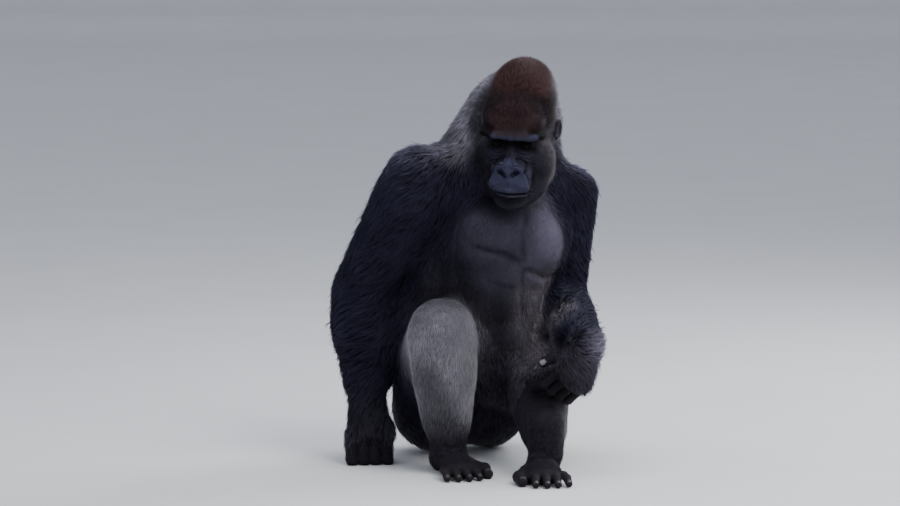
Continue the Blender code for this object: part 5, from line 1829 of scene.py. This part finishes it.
class Shader:
    """Builds one material round a Principled shader."""

    def __init__(self, name: str) -> None:
        """Start a material."""
        self.material = bpy.data.materials.new(name)
        self.material.use_nodes = True
        self.tree = self.material.node_tree
        self.main = self.tree.nodes["Principled BSDF"]
        self.place = self.node("ShaderNodeTexCoord", output="Object")

    def join(self, value: object, into: bpy.types.NodeSocket) -> None:
        """Link a wire, or write a value, to an input."""
        if isinstance(value, Wire):
            self.tree.links.new(value.socket, into)
        else:
            into.default_value = value

    def node(
        self,
        kind: str,
        settings: Mapping[str, object] | None = None,
        sockets: Mapping[str | int, object] | None = None,
        output: str | int = 0,
    ) -> Wire:
        """Make any node and return one of its outputs.

        Args:
            kind: The node's type.
            settings: Its own settings, which are made first.
            sockets: Values or wires for its inputs.
            output: Which output.

        Returns:
            The output.
        """
        node = self.tree.nodes.new(kind)
        for key, value in (settings or {}).items():
            setattr(node, key, value)
        for key, value in (sockets or {}).items():
            self.join(value, node.inputs[key])
        return Wire(self, node.outputs[output])

    def maths(self, operation: str, first: Wire | float, second: Wire | float) -> Wire:
        """Return the result of a Math node."""
        return self.node("ShaderNodeMath", {"operation": operation}, {0: first, 1: second})

    def noise(self, scale: float, detail: float = 3.0, rough: float = 0.5) -> Wire:
        """Return a noise over the object."""
        sockets = {"Vector": self.place, "Scale": scale, "Detail": detail, "Roughness": rough}
        return self.node("ShaderNodeTexNoise", sockets=sockets, output="Fac")

    def cells(self, scale: float, warp: float) -> Wire:
        """Return the distances to the edges of a bent cell pattern over the object."""
        sockets = {"Vector": self.place, "Scale": scale * 0.6, "Detail": 2.0}
        bent = self.node("ShaderNodeTexNoise", sockets=sockets, output="Color")
        sockets = {0: bent, 1: (warp, warp, warp), 2: self.place}
        moved = self.node("ShaderNodeVectorMath", {"operation": "MULTIPLY_ADD"}, sockets)
        sockets = {"Vector": moved, "Scale": scale}
        return self.node("ShaderNodeTexVoronoi", {"feature": "DISTANCE_TO_EDGE"}, sockets, "Distance")

    def tint(self) -> Wire:
        """Return the colour that was laid on the mesh."""
        return self.node("ShaderNodeAttribute", {"attribute_name": "hair"}, output="Color")

    def blend(self, low: Sequence[float], high: Sequence[float], by: Wire) -> Wire:
        """Return a colour between two."""
        sockets = {"Factor": by, "A": (*low, 1.0), "B": (*high, 1.0)}
        return self.node("ShaderNodeMix", {"data_type": "RGBA"}, sockets, "Result")

    def shade(self, colour: Wire, by: Wire) -> None:
        """Drive the base colour by a colour times a number."""
        self.colour(self.node("ShaderNodeVectorMath", {"operation": "SCALE"}, {0: colour, "Scale": by}))

    def colour(self, value: Wire) -> None:
        """Drive the base colour."""
        self.join(value, self.main.inputs["Base Color"])

    def gloss(self, rough: Wire | float, specular: float) -> None:
        """Drive the roughness and set how strongly the surface mirrors."""
        self.join(rough, self.main.inputs["Roughness"])
        self.main.inputs["Specular IOR Level"].default_value = specular

    def relief(self, height: Wire, depth: float) -> None:
        """Drive the normal by a height."""
        bump = self.node("ShaderNodeBump", sockets={"Height": height, "Distance": depth})
        self.join(bump, self.main.inputs["Normal"])


@dataclass(frozen=True)
class BareSkin:
    """Dark, finely creased skin with a dull sheen."""

    creases: float = 620.0
    pores: float = 2600.0

    def make(self) -> bpy.types.Material:
        """Return the material."""
        s = Shader("bare_skin")
        crease = s.cells(self.creases, 0.0016).ramp(0.0, 0.16)
        broad = s.cells(self.creases * 0.32, 0.004).ramp(0.0, 0.12)
        grain = s.noise(self.pores, 2.0, 0.6)
        mottle = s.noise(38.0, 4.0, 0.6)
        # the fine crease lines are painted darker: painted shade in the creases, on top of their bump
        s.shade(s.tint(), mottle * 0.5 + crease * 0.14 + 0.64)
        s.gloss(grain * 0.16 + 0.44, 0.05)
        s.relief(crease * 0.55 + broad * 0.9 + grain * 0.25, 0.00045)
        return s.material


@dataclass(frozen=True)
class Hair:
    """Straight hair with a soft sheen."""

    name: str
    roughness: float = 0.46
    mirror: float = 0.05

    def make(self) -> bpy.types.Material:
        """Return the material."""
        s = Shader(self.name)
        fine = s.noise(900.0, 2.0, 0.6)
        s.shade(s.tint(), fine * 0.5 + 0.75)
        s.gloss(fine * 0.16 + self.roughness - 0.08, self.mirror)
        return s.material


@dataclass(frozen=True)
class WetEye:
    """A dark, wet eye."""

    def make(self) -> bpy.types.Material:
        """Return the material."""
        s = Shader("eye")
        fine = s.noise(1400.0, 3.0, 0.6)
        s.shade(s.tint(), fine * 0.4 + 0.8)
        s.gloss(fine * 0.04 + 0.24, 0.03)
        s.main.inputs["Coat Weight"].default_value = 0.03
        s.main.inputs["Coat Roughness"].default_value = 0.03
        return s.material


@dataclass(frozen=True)
class Horn:
    """The stuff of nails: faintly ridged and dull."""

    name: str
    colour: tuple[int, int, int]

    def make(self) -> bpy.types.Material:
        """Return the material."""
        s = Shader(self.name)
        grain = s.noise(700.0, 4.0, 0.6)
        s.colour(s.blend(linear(*self.colour) * 0.55, linear(*self.colour) * 1.25, grain))
        s.gloss(grain * 0.2 + 0.3, 0.4)
        s.relief(grain, 0.0002)
        return s.material


@dataclass(frozen=True)
class PaleFloor:
    """A plain pale floor, barely mottled."""

    def make(self) -> bpy.types.Material:
        """Return the material."""
        s = Shader("pale_floor")
        s.colour(s.blend((0.6, 0.6, 0.59), (0.66, 0.66, 0.65), s.noise(3.0, 4.0, 0.5)))
        s.gloss(0.85, 0.5)
        return s.material


# ---------------------------------------------------------------- studio


@dataclass(frozen=True)
class Studio:
    """The camera, the soft lights and the floor."""

    azimuth: float = -25.0
    height: float = 7.0
    lens: float = 200.0
    away: float = 13.48
    aim_across: float = -0.027
    aim_up: float = 0.5445

    def axes(self) -> tuple[Vector, Vector, Vector]:
        """Return the camera's right, up and backward directions."""
        a, e = math.radians(self.azimuth), math.radians(self.height)
        right = xyz(math.cos(a), math.sin(a), 0.0)
        back = xyz(math.sin(a) * math.cos(e), -math.cos(a) * math.cos(e), math.sin(e))
        return right, back.cross(right), back

    def camera(self, shift: np.ndarray) -> None:
        """Set up the camera."""
        right, up, back = self.axes()
        data = bpy.data.cameras.new("camera")
        data.lens = self.lens
        data.clip_end = 100.0
        item = link("camera", data)
        item.location = Vector(shift) + right * self.aim_across + up * self.aim_up + back * self.away
        item.rotation_euler = Matrix((right, up, back)).transposed().to_euler()
        bpy.context.scene.camera = item

    def lamp(self, name: str, place: Point, target: Point, size: float, power: float, colour: Point) -> None:
        """Hang one soft lamp."""
        data = bpy.data.lights.new(name, "AREA")
        data.shape = "DISK"
        data.size = size
        data.energy = power
        data.color = colour
        item = link(name, data)
        item.location = place
        item.rotation_euler = (vec(target) - vec(place)).to_track_quat("-Z", "Y").to_euler()

    def lights(self) -> None:
        """Light the animal softly from above, with a brighter sky behind its left shoulder."""
        world = bpy.data.worlds.new("studio")
        world.use_nodes = True
        world.node_tree.nodes["Background"].inputs["Color"].default_value = (0.8, 0.85, 1.0, 1.0)
        world.node_tree.nodes["Background"].inputs["Strength"].default_value = 0.78
        bpy.context.scene.world = world
        self.lamp("key", (0.6, -2.6, 3.4), (0.0, 0.0, 0.6), 2.4, 135.0, (1.0, 0.99, 0.98))
        self.lamp("rim", (3.0, 0.6, 2.6), (0.0, 0.0, 0.7), 2.2, 105.0, (0.92, 0.95, 1.0))
        self.lamp("top", (-0.6, 0.2, 3.8), (0.0, 0.0, 0.6), 2.6, 60.0, (0.92, 0.95, 1.0))

    def floor(self) -> None:
        """Lay the floor, curving up far behind."""
        bm = bmesh.new()
        rows = []
        for k in range(25):
            t = k / 24.0
            y = -14.0 + 30.0 * min(t * 1.6, 1.0)
            z = -0.0005 if t < 0.6 else -0.0005 + 7.0 * ((t - 0.6) / 0.4) ** 2
            rows.append([bm.verts.new((x, y, z)) for x in (-16.0, 16.0)])
        for first, second in zip(rows[:-1], rows[1:]):
            bm.faces.new((first[0], first[1], second[1], second[0]))
        item = settled("floor", bm, smooth=True)
        item.rotation_euler = (0.0, 0.0, math.radians(self.azimuth))
        item.data.materials.append(PaleFloor().make())


# ---------------------------------------------------------------- the whole animal


@dataclass
class Gorilla:
    """Puts the skin, eyes, nails and coat on the frame."""

    nodes: Sequence[str]
    pose: Pose = field(default_factory=Pose)
    shift: np.ndarray = field(default_factory=lambda: np.zeros(3))

    def anchor(self) -> None:
        """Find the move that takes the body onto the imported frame, from where the left eye sits."""
        low, high = (np.array(corner, float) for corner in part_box("eye_left"))
        own = np.array(self.pose.head_frame() @ vec(EYE_PLACE))
        self.shift = (low + high) / 2.0 - own
        self.shift[2] = 0.0

    def tint(self, item: bpy.types.Object, coat: CoatMap, crease_shade: np.ndarray) -> None:
        """Lay the skin's colours on it, its markings with some painted sheen and shade, and paint shade
        darker in the creases.
        """
        paint(item.data, coat.hide(places(item.data)) * (1.0 - 0.72 * crease_shade)[:, None])

    def unwrap(self, item: bpy.types.Object) -> None:
        """Unwrap the skin."""
        item.data.uv_layers.new(name="OFBake")
        for other in bpy.context.view_layer.objects:
            other.select_set(False)
        bpy.context.view_layer.objects.active = item
        item.select_set(True)
        bpy.ops.object.mode_set(mode="EDIT")
        bpy.ops.mesh.select_all(action="SELECT")
        bpy.ops.uv.smart_project(angle_limit=1.15, island_margin=0.002, scale_to_bounds=True)
        bpy.ops.object.mode_set(mode="OBJECT")

    def dress(self, item: bpy.types.Object, material: bpy.types.Material) -> None:
        """Give a piece its finish and fix it to the frame."""
        item.data.materials.clear()
        item.data.materials.append(material)
        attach(item, "root")
        item.data.calc_loop_triangles()
        LOG.info("%s: %d triangles", item.name, len(item.data.loop_triangles))

    def build(self) -> None:
        """Build every piece."""
        self.anchor()
        coat_map = CoatMap(head_patches(self.pose) + body_patches(self.pose))
        flesh = Flesh(self.pose, coat_map)
        skin = flesh.whole()
        for face in skin.data.polygons:
            face.use_smooth = True
        self.tint(skin, coat_map, flesh.crease_shade)
        self.unwrap(skin)
        net = Net(places(skin.data), triangles_of(skin.data))
        coat = Coat(coat_map)
        roots = coat.roots(skin.data)
        LOG.info("%d locks", len(roots["place"]))
        put_places(skin.data, places(skin.data) + self.shift)
        self.dress(skin, BareSkin().make())
        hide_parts(*[name for name in self.nodes if not name.startswith("eye_")])
        self.eyes()
        pale = flesh.nails.pop(LEFT_THUMB)
        nails = Nail().build("nails", flesh.nails, self.shift)
        self.dress(nails, Horn("nail", (58, 52, 52)).make())
        thumb_nail = Nail(stretch=1.6).build("thumb_nail", [pale], self.shift)
        self.dress(thumb_nail, Horn("pale_nail", (98, 94, 102)).make())
        self.coat(coat, roots, net)

    def eyes(self) -> None:
        """Build both eyes."""
        frame = self.pose.head_frame()
        ahead = frame.to_3x3() @ xyz(0.0, -1.0, 0.0)
        gaze = ahead * 0.55 + Studio().axes()[2] * 0.45
        finish = WetEye().make()
        for name, side in (("left", 1.0), ("right", -1.0)):
            centre = frame @ xyz(side * EYE_PLACE[0], EYE_PLACE[1], EYE_PLACE[2])
            eye = Eyes().build(f"eyeball_{name}", centre, gaze, self.shift)
            self.dress(eye, finish)
            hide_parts(f"eye_{name}")

    def coat(self, coat: Coat, roots: Fields, net: Net) -> None:
        """Grow the coat, piece by piece."""
        finish = Hair("coat").make()
        length = roots["size"][:, LENGTH]
        builds = (("long", 4, 0.047, 1.0), ("middling", 3, 0.0262, 0.047), ("short", 2, 0.0, 0.0262))
        for build, rings, least, limit in builds:
            here = (length > least) & (length <= limit)
            part = {key: value[here] for key, value in roots.items()}
            grown = coat.grow(part, net, rings)
            most = LIMIT // (6 * rings - 8)
            for number, area in enumerate(Area):
                chosen = np.flatnonzero(part["area"] == number)
                if not len(chosen):
                    continue
                pieces = max(1, math.ceil(len(chosen) / most))
                order = chosen[np.argsort(part["place"][chosen, 2])]
                for k, some in enumerate(np.array_split(order, pieces)):
                    name = f"coat_{area.value}_{build}_{k + 1}"
                    item = coat.mesh(name, part, grown, some, self.shift)
                    self.dress(item, finish)


def main() -> None:
    """Build the scene."""
    logging.basicConfig(level=logging.INFO, format="%(name)s: %(message)s")
    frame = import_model()
    gorilla = Gorilla(list(frame["nodes"]))
    gorilla.build()
    studio = Studio()
    studio.camera(gorilla.shift)
    studio.lights()
    studio.floor()


if __name__ == "__main__":
    main()
